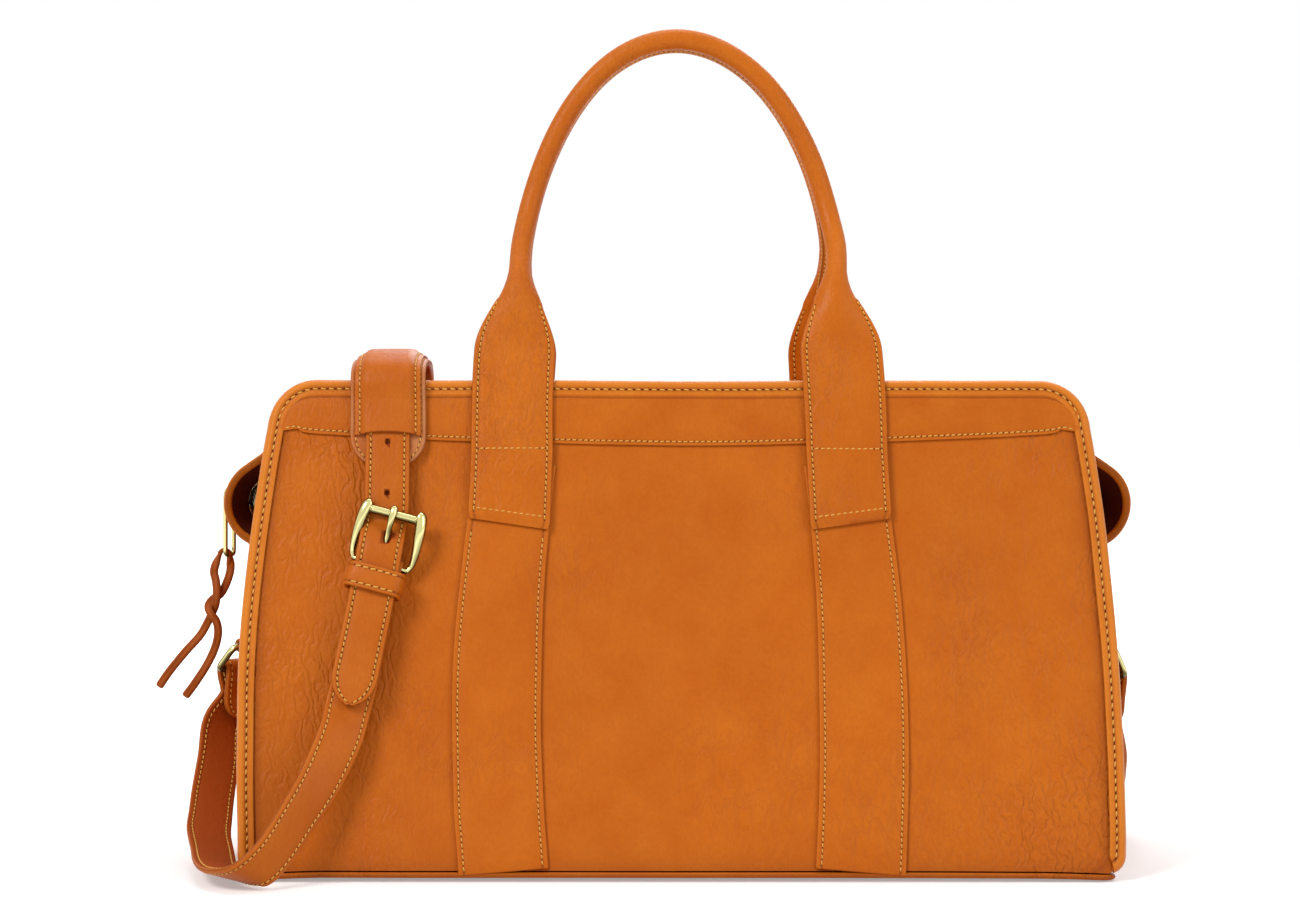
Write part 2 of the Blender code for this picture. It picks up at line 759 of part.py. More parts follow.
def make_thong(eye, bar_height):
    bar = Vector((eye.x, 0, bar_height))
    bend = pull_wire_radius + clearance + thong_thickness / 2
    half = thong_thickness / 2
    away = thong_width / 2 + clearance
    tail_shares = ((0.02, 0.26), (0.07, 0.40), (0.32, 0.62), (0.66, 0.82), (1.0, 1.0))
    long_tail = []
    short_tail = []
    for out, drop in tail_shares:
        long_tail.append(bar + Vector((-bend - thong_reach * out, -away, -thong_drop * drop)))
        short_tail.append(bar + Vector((bend - thong_reach * out * 0.62, away, -thong_drop * drop * 1.08)))
    turn = []
    for angle in spread(math.pi, 0, corner_steps):
        shift = -away * math.cos(math.pi - angle) / 2
        turn.append(bar + Vector((bend * math.cos(angle), shift, bend * math.sin(angle))))
    stations = long_tail[::-1] + turn + short_tail
    centres = smooth_path(stations, 2)
    bm = bmesh.new()
    across = [Vector((0, 1, 0))] * len(centres)
    ribbon_mesh(bm, centres, across, [thong_width / 2] * len(centres), thong_thickness)
    add_object("pull_thong", bm, "tan_leather", eye)
    top = bar + Vector((-thong_reach * 0.02, 0, -knot_drop))
    inner_x = bend + half + clearance + thong_reach * 0.04
    inner_y = 2 * thong_width / 2 + 2 * clearance
    bm = bmesh.new()
    loops = []
    for (wall, z) in ((0, 0), (knot_wall, 0), (knot_wall, -knot_height), (0, -knot_height)):
        rim = rounded_rectangle(inner_x + wall, inner_y + wall, knot_wall)
        loops.append([top + Vector((a, b, z)) for a, b in rim])
    skin_loops(bm, loops, ring=True)
    add_object("thong_knot", bm, "tan_leather", eye)


# The shoulder strap's rings


def turned(vector, back):
    """The same vector, or its half turn about the upright axis for the back of the bag."""
    return Vector((-vector[0], -vector[1], vector[2])) if back else Vector(vector)


class RingFrame:
    """A ring's bars and directions, written for the left side and turned for the right."""

    def __init__(self, back):
        turn = right_ring_turn if back else left_ring_turn
        tilt = right_ring_tilt if back else left_ring_tilt
        self.bar = turned((math.sin(turn), -math.cos(turn), 0), back)
        self.out = turned((-math.cos(turn), -math.sin(turn), 0), back)
        # the strap's end tab lies outside on the right ring and towards the bag on the left one
        self.face = self.out if back else -self.out
        self.across = self.bar if back else -self.bar
        self.drop = self.out * math.cos(tilt) - Vector((0, 0, math.sin(tilt)))
        wall = side_half_width(ring_height) - binding_width
        self.upper = turned((-wall - ring_stand_off, 0, ring_height), back)
        self.lower = self.upper + self.drop * (ring_inner_height + 2 * ring_wire_radius)


def make_ring(word, frame):
    middle = (frame.upper + frame.lower) / 2
    half_a = ring_inner_width / 2 + ring_wire_radius
    half_b = ring_inner_height / 2 + ring_wire_radius
    rim = rounded_rectangle(half_a, half_b, ring_corner_radius)
    path = [middle + frame.bar * a + frame.drop * b for a, b in rim]
    bm = bmesh.new()
    tube_mesh(bm, path, [ring_wire_radius] * len(path), frame.bar.cross(frame.drop), closed=True)
    add_object(f"{word}_ring", bm, "brass", frame.upper)


def make_ring_tab(word, frame, back):
    """The leather that holds a ring, sewn to the gusset above and below it."""
    bend = ring_wire_radius + clearance + ring_tab_thickness / 2
    depth_line = Vector((0, -1, 0)) if not back else Vector((0, 1, 0))
    upright = Vector((0, 0, 1))
    sewn = []
    for share in (1, 0.45, -0.45, -1):
        z = ring_height + share * ring_tab_half_length
        wall = side_half_width(z) - binding_width + clearance + ring_tab_thickness / 2
        sewn.append(turned((-wall, 0, z), back))
    centres = sewn[:2]
    acrosses = [depth_line, depth_line]
    for away in (2 * bend, bend):
        centres.append(frame.upper + bend * upright - away * frame.out)
        acrosses.append(frame.bar)
    for angle in spread(math.pi / 2, -math.pi / 2, corner_steps):
        centres.append(frame.upper + bend * (math.cos(angle) * frame.out + math.sin(angle) * upright))
        acrosses.append(frame.bar)
    for away in (bend, 2 * bend):
        centres.append(frame.upper - bend * upright - away * frame.out)
        acrosses.append(frame.bar)
    centres += sewn[2:]
    acrosses += [depth_line, depth_line]
    bm = bmesh.new()
    ribbon_mesh(bm, centres, acrosses, [ring_tab_width / 2] * len(centres), ring_tab_thickness)
    add_object(f"{word}_ring_tab", bm, "tan_leather")


def strap_end_stations(frame):
    """The strap's end: its riveted tab, the turn round the ring's lower bar, and the way down."""
    bend = ring_wire_radius + clearance + strap_half
    upright = Vector((0, 0, 1))
    close = strap_half + clearance
    rows = []
    for drop in (end_tab_length, end_tab_length * 0.55, ring_wire_radius * 2):
        out = close + (bend - close) * smooth_share(1 - drop / rivet_drop)
        rows.append(frame.lower + frame.face * out - upright * drop)
    for angle in spread(0, math.pi, corner_steps):
        rows.append(frame.lower + bend * (math.cos(angle) * frame.face + math.sin(angle) * upright))
    for drop in (ring_wire_radius * 2, end_tab_length * 0.55):
        out = close + (bend - close) * smooth_share(1 - drop / rivet_drop)
        rows.append(frame.lower - frame.face * out - upright * drop)
    return rows


def make_rivet(word, frame):
    centre = frame.lower - Vector((0, 0, rivet_drop))
    surface = centre + frame.face * (strap_half + clearance + strap_half + clearance)
    path = [surface, surface + frame.face * rivet_height / 2, surface + frame.face * rivet_height]
    radii = [rivet_radius, rivet_radius, rivet_radius * 0.75]
    bm = bmesh.new()
    tube_mesh(bm, path, radii, Vector((0, 0, 1)), sides=2 * corner_steps)
    add_object(f"{word}_strap_rivet", bm, "brass")


def run_stations(rows, back):
    """Turns rows of shares into centres and directions across the strap."""
    centres = []
    acrosses = []
    for (share_x, share_y, share_z), across in rows:
        centres.append(turned((share_x * half_width, share_y * half_depth, share_z * body_height), back))
        acrosses.append(turned(across, back).normalized())
    return centres, acrosses


# The strap over the bag's front


def strap_line_x(z):
    """The strap's place across the front, which drifts outward below the buckle."""
    fall = max(0.0, (strap_drift_height - z) / strap_drift_length)
    return strap_x - strap_drift * fall**strap_drift_power


class BuckleFrame:
    """Directions at the keeper: across the strap, up along it, and out from the panel."""

    def __init__(self):
        step = keeper_length
        z = keeper_height
        self.origin = on_panel(strap_line_x(z), z)
        rise = on_panel(strap_line_x(z + step), z + step) - on_panel(strap_line_x(z - step), z - step)
        self.up = rise.normalized()
        self.out = Vector((0, -math.cos(lean_angle), math.sin(lean_angle)))
        self.across = self.up.cross(self.out)

    def point(self, across, up, out):
        return self.origin + self.across * across + self.up * up + self.out * out


def crest_line(low):
    """The line that the pad's inner face follows over the mouth, front to back, as (depth, height)."""
    rise = [(-panel_depth(z), z) for z in spread(low, crest_turn_height, 4)]
    top = body_height + pad_crown
    turn = ((-mouth_depth / 2, body_height), (-crest_half_depth, top - crest_shoulder_drop), (0, top))
    half = smooth_path([*rise[-2:], *turn], 3)[3:]
    front = [Vector(p) for p in rise[:-1]] + half
    return front + [Vector((-p.x, p.y)) for p in reversed(front[:-1])]


def over_points(low, level, x):
    """Centres over the mouth at a level above the panel, from a height in front to that behind."""
    return [Vector((x, y, z)) for y, z in offset_line(crest_line(low), level)]


def make_pad():
    across = Vector((1, 0, 0))
    centres = over_points(pad_end_height, pad_level + pad_thickness / 2, strap_x)
    halves = []
    for centre in centres:
        near_end = min(1.0, (centre.z - pad_end_height + pad_taper_length / 2) / pad_taper_length)
        halves.append(pad_width / 2 * math.sqrt(1 - 0.6 * (1 - near_end) ** 2))
    bm = bmesh.new()
    ribbon_mesh(bm, centres, [across] * len(centres), halves, pad_thickness)
    add_object("shoulder_pad", bm, "tan_leather")
    centres = over_points(pad_loop_height, pad_loop_level + pad_loop_thickness / 2, strap_x)
    bm = bmesh.new()
    ribbon_mesh(bm, centres, [across] * len(centres), [pad_width / 2] * len(centres), pad_loop_thickness)
    add_object("pad_top_band", bm, "tan_leather")


def make_lower_strap(frame, buckle):
    """From the left ring down to the floor, up the front and round the buckle's heel bar."""
    rows = strap_end_stations(frame)
    acrosses = [frame.across] * len(rows)
    centres, across_rows = run_stations(left_run_shares, False)
    rows += centres
    acrosses += across_rows
    for z in spread(keeper_height - tail_drop + keeper_length, keeper_height, 3):
        rows.append(on_panel(strap_line_x(z), z, lower_level))
        acrosses.append(buckle.across)
    path = smooth_path(rows[9:], 3)
    path_across = smooth_path(acrosses[9:], 3)
    rows = rows[:9] + path
    acrosses = acrosses[:9] + path_across
    bend = heel_radius + clearance + strap_half
    for angle in spread(math.pi / 2, -math.pi / 2, corner_steps):
        up = heel_rise + bend * math.cos(angle)
        rows.append(buckle.point(0, up, heel_level + bend * math.sin(angle)))
        acrosses.append(buckle.across)
    for share in (0.5, 1):
        rows.append(buckle.point(0, heel_rise - share * return_length, return_level))
        acrosses.append(buckle.across)
    bm = bmesh.new()
    ribbon_mesh(bm, rows, acrosses, [strap_width / 2] * len(rows), strap_thickness)
    strap = add_object("buckle_strap", bm, "tan_leather")
    low = heel_rise - heel_slot_drop
    high = heel_rise + bend + strap_half + cut_overrun
    slot = slot_cutter("heel_slot", buckle, (low, high), (-cut_overrun, tail_level - strap_half))
    add_boolean(strap, slot, "DIFFERENCE")


def slot_cutter(name, buckle, ups, levels):
    half = prong_slot_width / 2
    bm = bmesh.new()
    corners = ((-half, ups[0]), (half, ups[0]), (half, ups[1]), (-half, ups[1]))
    skin_loops(bm, [[buckle.point(a, b, level) for a, b in corners] for level in levels])
    return add_object(name, bm, "tan_leather")


def make_billet_strap(frame, buckle):
    """From the right ring across the back, over the top and down the front through the buckle."""
    rows = strap_end_stations(frame)
    acrosses = [frame.across] * len(rows)
    centres, across_rows = run_stations(right_run_shares, True)
    for share_x, share_z, share_level in back_run_shares:
        centres.append(on_panel(share_x * half_width, share_z * body_height, share_level * strap_level, 1))
    out = Vector((0, math.cos(lean_angle), math.sin(lean_angle)))
    across_rows += [along.cross(out) for along in tangents(centres)[len(across_rows):]]
    rows += centres
    acrosses += across_rows
    over = over_points(pad_end_height, strap_level, strap_x)[::-1]
    rows = rows[:9] + smooth_path(rows[9:] + over[:1], 3)[:-1]
    acrosses = acrosses[:9] + smooth_path(acrosses[9:] + [Vector((-1, 0, 0))], 3)[:-1]
    rows += over
    acrosses += [Vector((-1, 0, 0))] * len(over)
    halves = [strap_width / 2] * len(rows)
    rise = heel_rise + buckle_reach
    front = [
        (rise + keeper_length / 3, strap_level),
        (rise - keeper_length / 3, strap_level),
        (heel_rise + prong_slot_rise * 1.5, strap_level + (tail_level - strap_level) * 0.35),
        (heel_rise + prong_slot_rise * 0.5, strap_level + (tail_level - strap_level) * 0.9),
        (heel_rise, tail_level),
    ]
    for up, level in front:
        z = keeper_height + up * buckle.up.z
        rows.append(on_panel(strap_line_x(z), z, level))
        acrosses.append(-buckle.across)
        halves.append(strap_width / 2)
    for share in spread(0, 1, corner_steps):
        z = keeper_height - tail_drop * share
        near_tip = max(0.0, 1 - tail_drop * (1 - share) / tail_taper_length)
        rows.append(on_panel(strap_line_x(z), z, tail_level))
        acrosses.append(-buckle.across)
        halves.append(strap_width / 2 * math.sqrt(1 - 0.8 * near_tip**2))
    bm = bmesh.new()
    ribbon_mesh(bm, rows, acrosses, halves, strap_thickness)
    strap = add_object("billet_strap", bm, "tan_leather")
    middle = heel_rise + prong_slot_rise
    ups = (middle - prong_slot_half_length, middle + prong_slot_half_length)
    levels = (strap_level - strap_thickness, tail_level + strap_thickness)
    slot = slot_cutter("billet_slot", buckle, ups, levels)
    add_boolean(strap, slot, "DIFFERENCE")


def make_keeper(buckle):
    """The fixed leather loop below the buckle."""
    half_a = strap_width / 2 + clearance
    low = keeper_inner_level + keeper_thickness
    middle = (low + keeper_outer_level()) / 2
    half_b = (keeper_outer_level() - low) / 2
    loops = []
    half = keeper_length / 2
    for wall, up in ((0, half), (keeper_thickness, half), (keeper_thickness, -half), (0, -half)):
        rim = rounded_rectangle(half_a + wall, half_b + wall, clearance + wall / 2, 2)
        loops.append([buckle.point(a, up, middle + b) for a, b in rim])
    bm = bmesh.new()
    skin_loops(bm, loops, ring=True)
    add_object("keeper", bm, "tan_leather")


def keeper_outer_level():
    return tail_level + strap_half + clearance


def make_buckle(buckle):
    """The frame with its thin heel bar, and the prong that turns on that bar."""
    half_b = buckle_reach / 2
    rim = rounded_rectangle(buckle_half_width, half_b, buckle_corner_radius, 4)
    path = []
    radii = []
    for a, b in rim:
        share = (b + half_b) / buckle_reach
        level = heel_level + (top_bar_level - heel_level) * share
        path.append(buckle.point(a, heel_rise + half_b + b, level))
        on_heel = share == 0
        radii.append(heel_radius if on_heel or share < clearance else buckle_wire_radius)
    bm = bmesh.new()
    tube_mesh(bm, path, radii, buckle.out, closed=True)
    heel = buckle.point(0, heel_rise, heel_level)
    add_object("buckle_frame", bm, "brass", heel)
    eye_radius = heel_radius + prong_eye_gap + prong_radius
    eye = [
        buckle.point(0, heel_rise + eye_radius * math.cos(a), heel_level + eye_radius * math.sin(a))
        for a in spread(0, 2 * math.pi, 12)[:-1]
    ]
    bm = bmesh.new()
    tube_mesh(bm, eye, [prong_radius] * len(eye), buckle.across, closed=True)
    prong = add_object("buckle_prong", bm, "brass", heel)
    tip_level = top_bar_level + buckle_wire_radius + clearance + prong_radius
    shank_points = [
        buckle.point(0, heel_rise + eye_radius * 0.4, heel_level + eye_radius),
        buckle.point(0, heel_rise + buckle_reach * 0.35, heel_level + (tip_level - heel_level) * 0.62),
        buckle.point(0, heel_rise + buckle_reach * 0.75, tip_level),
        buckle.point(0, heel_rise + buckle_reach + buckle_wire_radius, tip_level),
    ]
    shank = smooth_path(shank_points, 3)
    bm = bmesh.new()
    tube_mesh(bm, shank, [prong_radius] * len(shank), buckle.across)
    add_boolean(prong, add_object("prong_shank", bm, "brass", heel), "UNION")


def main():
    for old in list(bpy.data.objects):
        bpy.data.objects.remove(old)
    make_base()
    for side, word in ((-1, "front"), (1, "back")):
        make_panel(word, side)
        make_binding(word, side)
        make_yoke(word, side)
        make_bands(word, side)
        make_handle(word, side)
    make_zip_flaps()
    make_ears()
    make_pull(make_slider())
    frames = []
    for side, word in ((-1, "left"), (1, "right")):
        back = side > 0
        frame = RingFrame(back)
        make_gusset(word, side)
        make_ring(word, frame)
        make_ring_tab(word, frame, back)
        make_rivet(word, frame)
        frames.append(frame)
    buckle = BuckleFrame()
    make_lower_strap(frames[0], buckle)
    make_billet_strap(frames[1], buckle)
    make_keeper(buckle)
    make_buckle(buckle)
    make_pad()


main()
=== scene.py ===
# Tan leather travel bag: zip top, two rolled handles, buckled shoulder strap with a pad.
# Everything is in metres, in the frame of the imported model.
import math

import bmesh
import bpy
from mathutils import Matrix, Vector, noise


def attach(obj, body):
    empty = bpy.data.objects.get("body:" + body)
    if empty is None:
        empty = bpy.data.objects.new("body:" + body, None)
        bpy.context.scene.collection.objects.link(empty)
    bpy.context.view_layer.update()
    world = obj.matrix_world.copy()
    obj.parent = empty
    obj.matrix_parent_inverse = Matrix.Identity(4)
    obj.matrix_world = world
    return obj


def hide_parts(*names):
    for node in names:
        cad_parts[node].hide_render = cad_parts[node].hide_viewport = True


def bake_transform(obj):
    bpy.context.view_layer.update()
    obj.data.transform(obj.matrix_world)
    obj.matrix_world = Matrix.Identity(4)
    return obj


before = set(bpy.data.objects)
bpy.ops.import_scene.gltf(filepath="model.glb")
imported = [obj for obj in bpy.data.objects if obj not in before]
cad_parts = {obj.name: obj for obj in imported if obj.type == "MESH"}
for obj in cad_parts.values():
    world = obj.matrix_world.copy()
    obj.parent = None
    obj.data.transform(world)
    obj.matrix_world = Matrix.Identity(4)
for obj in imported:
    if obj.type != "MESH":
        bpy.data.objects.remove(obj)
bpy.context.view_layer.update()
noise.seed_set(4)  # noise_vector is seeded by the clock otherwise
print("frame loaded:", len(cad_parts), "nodes")

# the bag's main sizes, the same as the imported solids
bag = {
    "width": 0.500, "depth": 0.230, "mouth": 0.100, "height": 0.283,
    "drawIn": 0.0145, "drawStart": 0.100, "drawPower": 1.7,
    "topCorner": 0.028, "lowCorner": 0.010,
    "panel": 0.0025, "base": 0.0030, "gap": 0.0003,
}
halfWidth = bag["width"] / 2
halfDepth = bag["depth"] / 2
lean = math.atan2(halfDepth - bag["mouth"] / 2, bag["height"])
panelLow = bag["base"] + bag["gap"] + bag["panel"] * math.sin(lean)


acrossX, acrossY, upright = Vector((1, 0, 0)), Vector((0, 1, 0)), Vector((0, 0, 1))


# small maths

def smoothStep(value):
    t = min(1.0, max(0.0, value))
    return t * t * (3 - 2 * t)


def mixed(a, b, t):
    return a + (b - a) * t


def steps(first, last, count):
    return [first + (last - first) * i / count for i in range(count + 1)]


def smoothPath(points, count):
    # a Catmull-Rom curve through the points
    points = [Vector(p) for p in points]
    ends = [2 * points[0] - points[1], *points, 2 * points[-1] - points[-2]]
    path = []
    for a, b, c, d in zip(ends, ends[1:], ends[2:], ends[3:]):
        for i in range(count):
            t = i / count
            path.append((2 * b + (c - a) * t + (2 * a - 5 * b + 4 * c - d) * t * t
                         + (3 * b - a - 3 * c + d) * t ** 3) / 2)
    path.append(points[-1])
    return path


def lengthsOf(path):
    lengths = [0.0]
    for a, b in zip(path, path[1:]):
        lengths.append(lengths[-1] + (b - a).length)
    return lengths


def circle(count):
    return [2 * math.pi * k / count for k in range(count)]


def tangentsOf(path, ring=False):
    last = len(path) - 1
    found = []
    for i in range(len(path)):
        before = path[i - 1] if i or ring else path[0]
        after = path[(i + 1) % len(path)] if i < last or ring else path[last]
        found.append((after - before).normalized())
    return found


def sideHalf(z):
    rise = max(0.0, z - bag["drawStart"]) / (bag["height"] - bag["drawStart"])
    return halfWidth - bag["drawIn"] * rise ** bag["drawPower"]


def panelDepth(z):
    return halfDepth - z * math.tan(lean)


def panelHalf(z, inset=0.0):
    # half of a panel's width at a height, rounded corners included
    top = bag["height"] - bag["topCorner"]
    low = panelLow + bag["lowCorner"]
    if z > top:
        r = bag["topCorner"] - inset
        return sideHalf(top) - bag["topCorner"] + math.sqrt(max(0.0, r * r - (z - top) ** 2))
    if z < low:
        r = bag["lowCorner"] - inset
        return sideHalf(0) - bag["lowCorner"] + math.sqrt(max(0.0, r * r - (low - z) ** 2))
    return sideHalf(z) - inset


def sway(p):
    # the hand-made unevenness that every leather piece shares, so that pieces stay on each other
    hold = smoothStep(p.z / 0.035)
    wide = noise.noise_vector(p * 8.0 + Vector((3.1, 0.7, 5.2))) * 0.0011
    fine = noise.noise_vector(p * 26.0) * 0.00028
    moved = (wide + fine) * hold
    # each wall draws in a little between its stiff edges
    across = max(0.0, 1 - (p.x / 0.235) ** 2)
    up = max(0.0, math.sin(math.pi * min(1.0, max(0.0, p.z / 0.275))))
    near = smoothStep((abs(p.y) - 0.012) / 0.03)
    moved.y -= math.copysign(0.0030, p.y) * across * up ** 0.7 * near * (0.75 + 0.5 * noise.noise(p * 9.0))
    # and its ends belly out between the top and the floor
    belly = math.sin(math.pi * min(1.0, max(0.0, p.z / 0.262))) ** 0.8
    ends = smoothStep((abs(p.x) - 0.170) / 0.075) * smoothStep((abs(p.y) - 0.036) / 0.020)
    moved.x += (0.0017 if p.x > 0 else -0.0034) * belly * ends
    # the lower edge bears on its corners and arches up a little between them
    arch = smoothStep((0.272 - abs(p.x)) / 0.075) * smoothStep((abs(p.y) - 0.088) / 0.026)
    moved.z += 0.0027 * arch * (1 - smoothStep(p.z / 0.060)) * (0.85 + 0.4 * noise.noise(p * 7.0))
    return moved


def onPanel(x, z, level=0.0, side=-1):
    y = panelDepth(z) + level * math.cos(lean)
    return Vector((x, side * y, z + level * math.sin(lean)))


def panelOut(side=-1):
    return Vector((0, side * math.cos(lean), math.sin(lean)))


def panelUp(side=-1):
    return Vector((0, -side * math.sin(lean), math.cos(lean)))


# leather and metal

tanLeather = {
    "deep": (0.330, 0.054, 0.0015), "mid": (0.565, 0.126, 0.0030), "pale": (0.690, 0.195, 0.0090),
    "groove": (0.140, 0.020, 0.0012), "flesh": (0.260, 0.085, 0.024),
    "rough": 0.46, "crease": 0.55, "creaseScale": 1.0, "grain": 0.35, "mottle": 0.5,
    "wrinkle": 0.25, "wrinkleFrom": -0.05, "wornMix": 0.55,
}


def nodeTree(name):
    made = bpy.data.materials.new(name)
    made.use_nodes = True
    tree = made.node_tree
    return made, tree, tree.nodes["Principled BSDF"], tree.nodes.new("ShaderNodeTexCoord").outputs["Object"]


def addNode(tree, kind, **values):
    made = tree.nodes.new(kind)
    for key, value in values.items():
        if key in made.inputs:
            made.inputs[key].default_value = value
        else:
            setattr(made, key, value)
    return made


def mathNode(tree, operation, first, second=None, clamp=False):
    made = tree.nodes.new("ShaderNodeMath")
    made.operation = operation
    made.use_clamp = clamp
    for i, value in enumerate((first, second)):
        if value is None:
            continue
        if isinstance(value, (int, float)):
            made.inputs[i].default_value = value
        else:
            tree.links.new(value, made.inputs[i])
    return made.outputs[0]


def times(tree, first, second):
    return mathNode(tree, "MULTIPLY", first, second)


def plus(tree, first, second, clamp=False):
    return mathNode(tree, "ADD", first, second, clamp)


def mapRange(tree, value, low, high, newLow=0.0, newHigh=1.0):
    ends = {"From Min": low, "From Max": high, "To Min": newLow, "To Max": newHigh}
    made = addNode(tree, "ShaderNodeMapRange", **ends)
    tree.links.new(value, made.inputs["Value"])
    return made.outputs["Result"]


def mixColour(tree, factor, first, second, kind="MIX"):
    made = tree.nodes.new("ShaderNodeMix")
    made.data_type = "RGBA"
    made.blend_type = kind
    made.clamp_factor = True
    for socket, value in ((made.inputs[0], factor), (made.inputs[6], first), (made.inputs[7], second)):
        if isinstance(value, (int, float)):
            socket.default_value = value
        elif isinstance(value, tuple):
            socket.default_value = (*value, 1)
        else:
            tree.links.new(value, socket)
    return made.outputs[2]


def noiseAt(tree, coords, scale, detail=3.0, rough=0.55, distortion=0.0):
    made = addNode(tree, "ShaderNodeTexNoise", Scale=scale, Detail=detail, Roughness=rough, Distortion=distortion)
    tree.links.new(coords, made.inputs["Vector"])
    return made.outputs["Fac"]


def stretched(tree, coords, turn, scale):
    made = addNode(tree, "ShaderNodeMapping", Rotation=turn, Scale=scale)
    tree.links.new(coords, made.inputs["Vector"])
    return made.outputs["Vector"]


def finished(tree, shader, tone, roughness, height, strength):
    # links the colour, the roughness and the bump of a finish
    tree.links.new(tone, shader.inputs["Base Color"])
    if roughness:
        tree.links.new(roughness, shader.inputs["Roughness"])
    bump = addNode(tree, "ShaderNodeBump", Strength=strength, Distance=1.0)
    tree.links.new(height, bump.inputs["Height"])
    tree.links.new(bump.outputs["Normal"], shader.inputs["Normal"])


def leatherFinish(name, **changes):
    look = dict(tanLeather, **changes)
    made, tree, shader, coords = nodeTree(name)
    marks = tree.nodes.new("ShaderNodeAttribute")
    marks.attribute_name = "marks"
    split = tree.nodes.new("ShaderNodeSeparateColor")
    tree.links.new(marks.outputs["Color"], split.inputs[0])
    groove, worn, inner = split.outputs[0], split.outputs[1], split.outputs[2]
    # broad tone, cloudy dye and small flecks
    broad = mapRange(tree, noiseAt(tree, coords, 7.0, 2.0), 0.30, 0.72)
    cloudy = mapRange(tree, noiseAt(tree, coords, 38.0, 5.0, 0.6), 0.32, 0.70)
    tone = mixColour(tree, times(tree, cloudy, look["mottle"]), look["mid"], look["pale"])
    shade = times(tree, mathNode(tree, "SUBTRACT", 1.0, broad), look["mottle"] * 0.62)
    tone = mixColour(tree, shade, tone, look["deep"])
    # creases: thin folded lines that come and go
    cs = look["creaseScale"]
    slant = stretched(tree, coords, (0.3, 0.55, 0.2), (1.0, 1.0, 0.42))
    lines = noiseAt(tree, slant, 120.0 * cs, 4.0, 0.62, 0.9)
    ridge = mathNode(tree, "ABSOLUTE", mathNode(tree, "SUBTRACT", lines, 0.5))
    fold = mapRange(tree, ridge, 0.0, 0.075, 1.0, 0.0)
    where = mapRange(tree, noiseAt(tree, coords, 11.0, 3.0), 0.46, 0.66)
    fold = times(tree, fold, where)
    # soft wrinkles across the ends of the walls and wherever the leather is folded
    ripples = addNode(tree, "ShaderNodeTexWave", bands_direction="X", Scale=60.0, Distortion=13.0, Detail=2.0,
                      **{"Detail Scale": 2.0, "Detail Roughness": 0.5})
    tree.links.new(stretched(tree, coords, (0.0, 0.30, 0.0), (1.0, 1.0, 0.62)), ripples.inputs["Vector"])
    wrinkle = mathNode(tree, "POWER", ripples.outputs["Fac"], 1.6)
    axes = tree.nodes.new("ShaderNodeSeparateXYZ")
    tree.links.new(coords, axes.inputs[0])
    ends = mapRange(tree, mathNode(tree, "ABSOLUTE", axes.outputs[0]), look["wrinkleFrom"],
                    look["wrinkleFrom"] + 0.07)
    patchy = mapRange(tree, noiseAt(tree, coords, 12.0, 2.0), 0.34, 0.58, 0.15, 1.0)
    wrinkle = times(tree, wrinkle, times(tree, ends, patchy))
    cells = addNode(tree, "ShaderNodeTexVoronoi", Scale=820.0)
    tree.links.new(coords, cells.inputs["Vector"])
    pebble = mapRange(tree, cells.outputs["Distance"], 0.0, 0.75)
    fibre = noiseAt(tree, coords, 1900.0, 2.0)
    # crease and wrinkle lines are also darkened in colour: painted shade in the folds
    tone = mixColour(tree, times(tree, fold, 0.34 * look["crease"]), tone, look["deep"])
    tone = mixColour(tree, times(tree, wrinkle, min(0.30, 0.10 * look["wrinkle"])), tone, look["deep"])
    speck = mapRange(tree, noiseAt(tree, coords, 520.0, 3.0), 0.36, 0.62)
    tone = mixColour(tree, times(tree, mathNode(tree, "SUBTRACT", 1.0, speck), 0.13), tone, look["deep"])
    # the marks make rubbed edges paler (painted highlight with some wear), darken grooves, holes and the painted shade
    # along the binding and the floor, and dull the flesh side, which is painted shade inside the ear
    tone = mixColour(tree, times(tree, worn, look["wornMix"]), tone, look["pale"])
    tone = mixColour(tree, groove, tone, look["groove"])
    tone = mixColour(tree, inner, tone, look["flesh"])
    gloss = plus(tree, times(tree, cloudy, 0.10), look["rough"] - 0.05)
    gloss = plus(tree, gloss, times(tree, groove, 0.25))
    gloss = plus(tree, gloss, times(tree, inner, 0.35), True)
    shader.inputs["Specular IOR Level"].default_value = 0.17
    height = times(tree, fold, -0.00032 * look["crease"])
    for value, depth in ((wrinkle, -0.00040 * look["wrinkle"]), (pebble, -0.00007 * look["grain"]),
                         (fibre, 0.00006 * look["grain"]), (cloudy, 0.00022)):
        height = plus(tree, height, times(tree, value, depth))
    finished(tree, shader, tone, gloss, height, 0.85)
    return made


def metalFinish(name, colour, dark, rough=0.14, aged=0.12):
    made, tree, shader, coords = nodeTree(name)
    stain = mapRange(tree, noiseAt(tree, coords, 180.0, 4.0), 0.42, 0.72)
    tone = mixColour(tree, times(tree, stain, aged), colour, dark)
    # painted dark reflection: the fronts stay bright, and faces turned to the sides or downwards are darkened towards
    # the dark colour
    facing = tree.nodes.new("ShaderNodeSeparateXYZ")
    tree.links.new(tree.nodes.new("ShaderNodeNewGeometry").outputs["Normal"], facing.inputs[0])
    aside = mapRange(tree, mathNode(tree, "ABSOLUTE", facing.outputs[1]), 0.42, 0.78, 1.0, 0.0)
    beneath = mapRange(tree, facing.outputs[2], -0.35, 0.02, 1.0, 0.0)
    paintedDarkReflection = mathNode(tree, "MAXIMUM", times(tree, aside, 0.85), beneath)
    tone = mixColour(tree, times(tree, paintedDarkReflection, 0.9), tone, dark)
    scuffs = noiseAt(tree, stretched(tree, coords, (0.2, 0.1, 0.4), (1, 1, 7)), 900.0, 3.0)
    shader.inputs["Metallic"].default_value = 1.0
    finished(tree, shader, tone, mapRange(tree, scuffs, 0.35, 0.75, rough, rough + 0.08),
             times(tree, scuffs, 0.000006), 0.4)
    return made


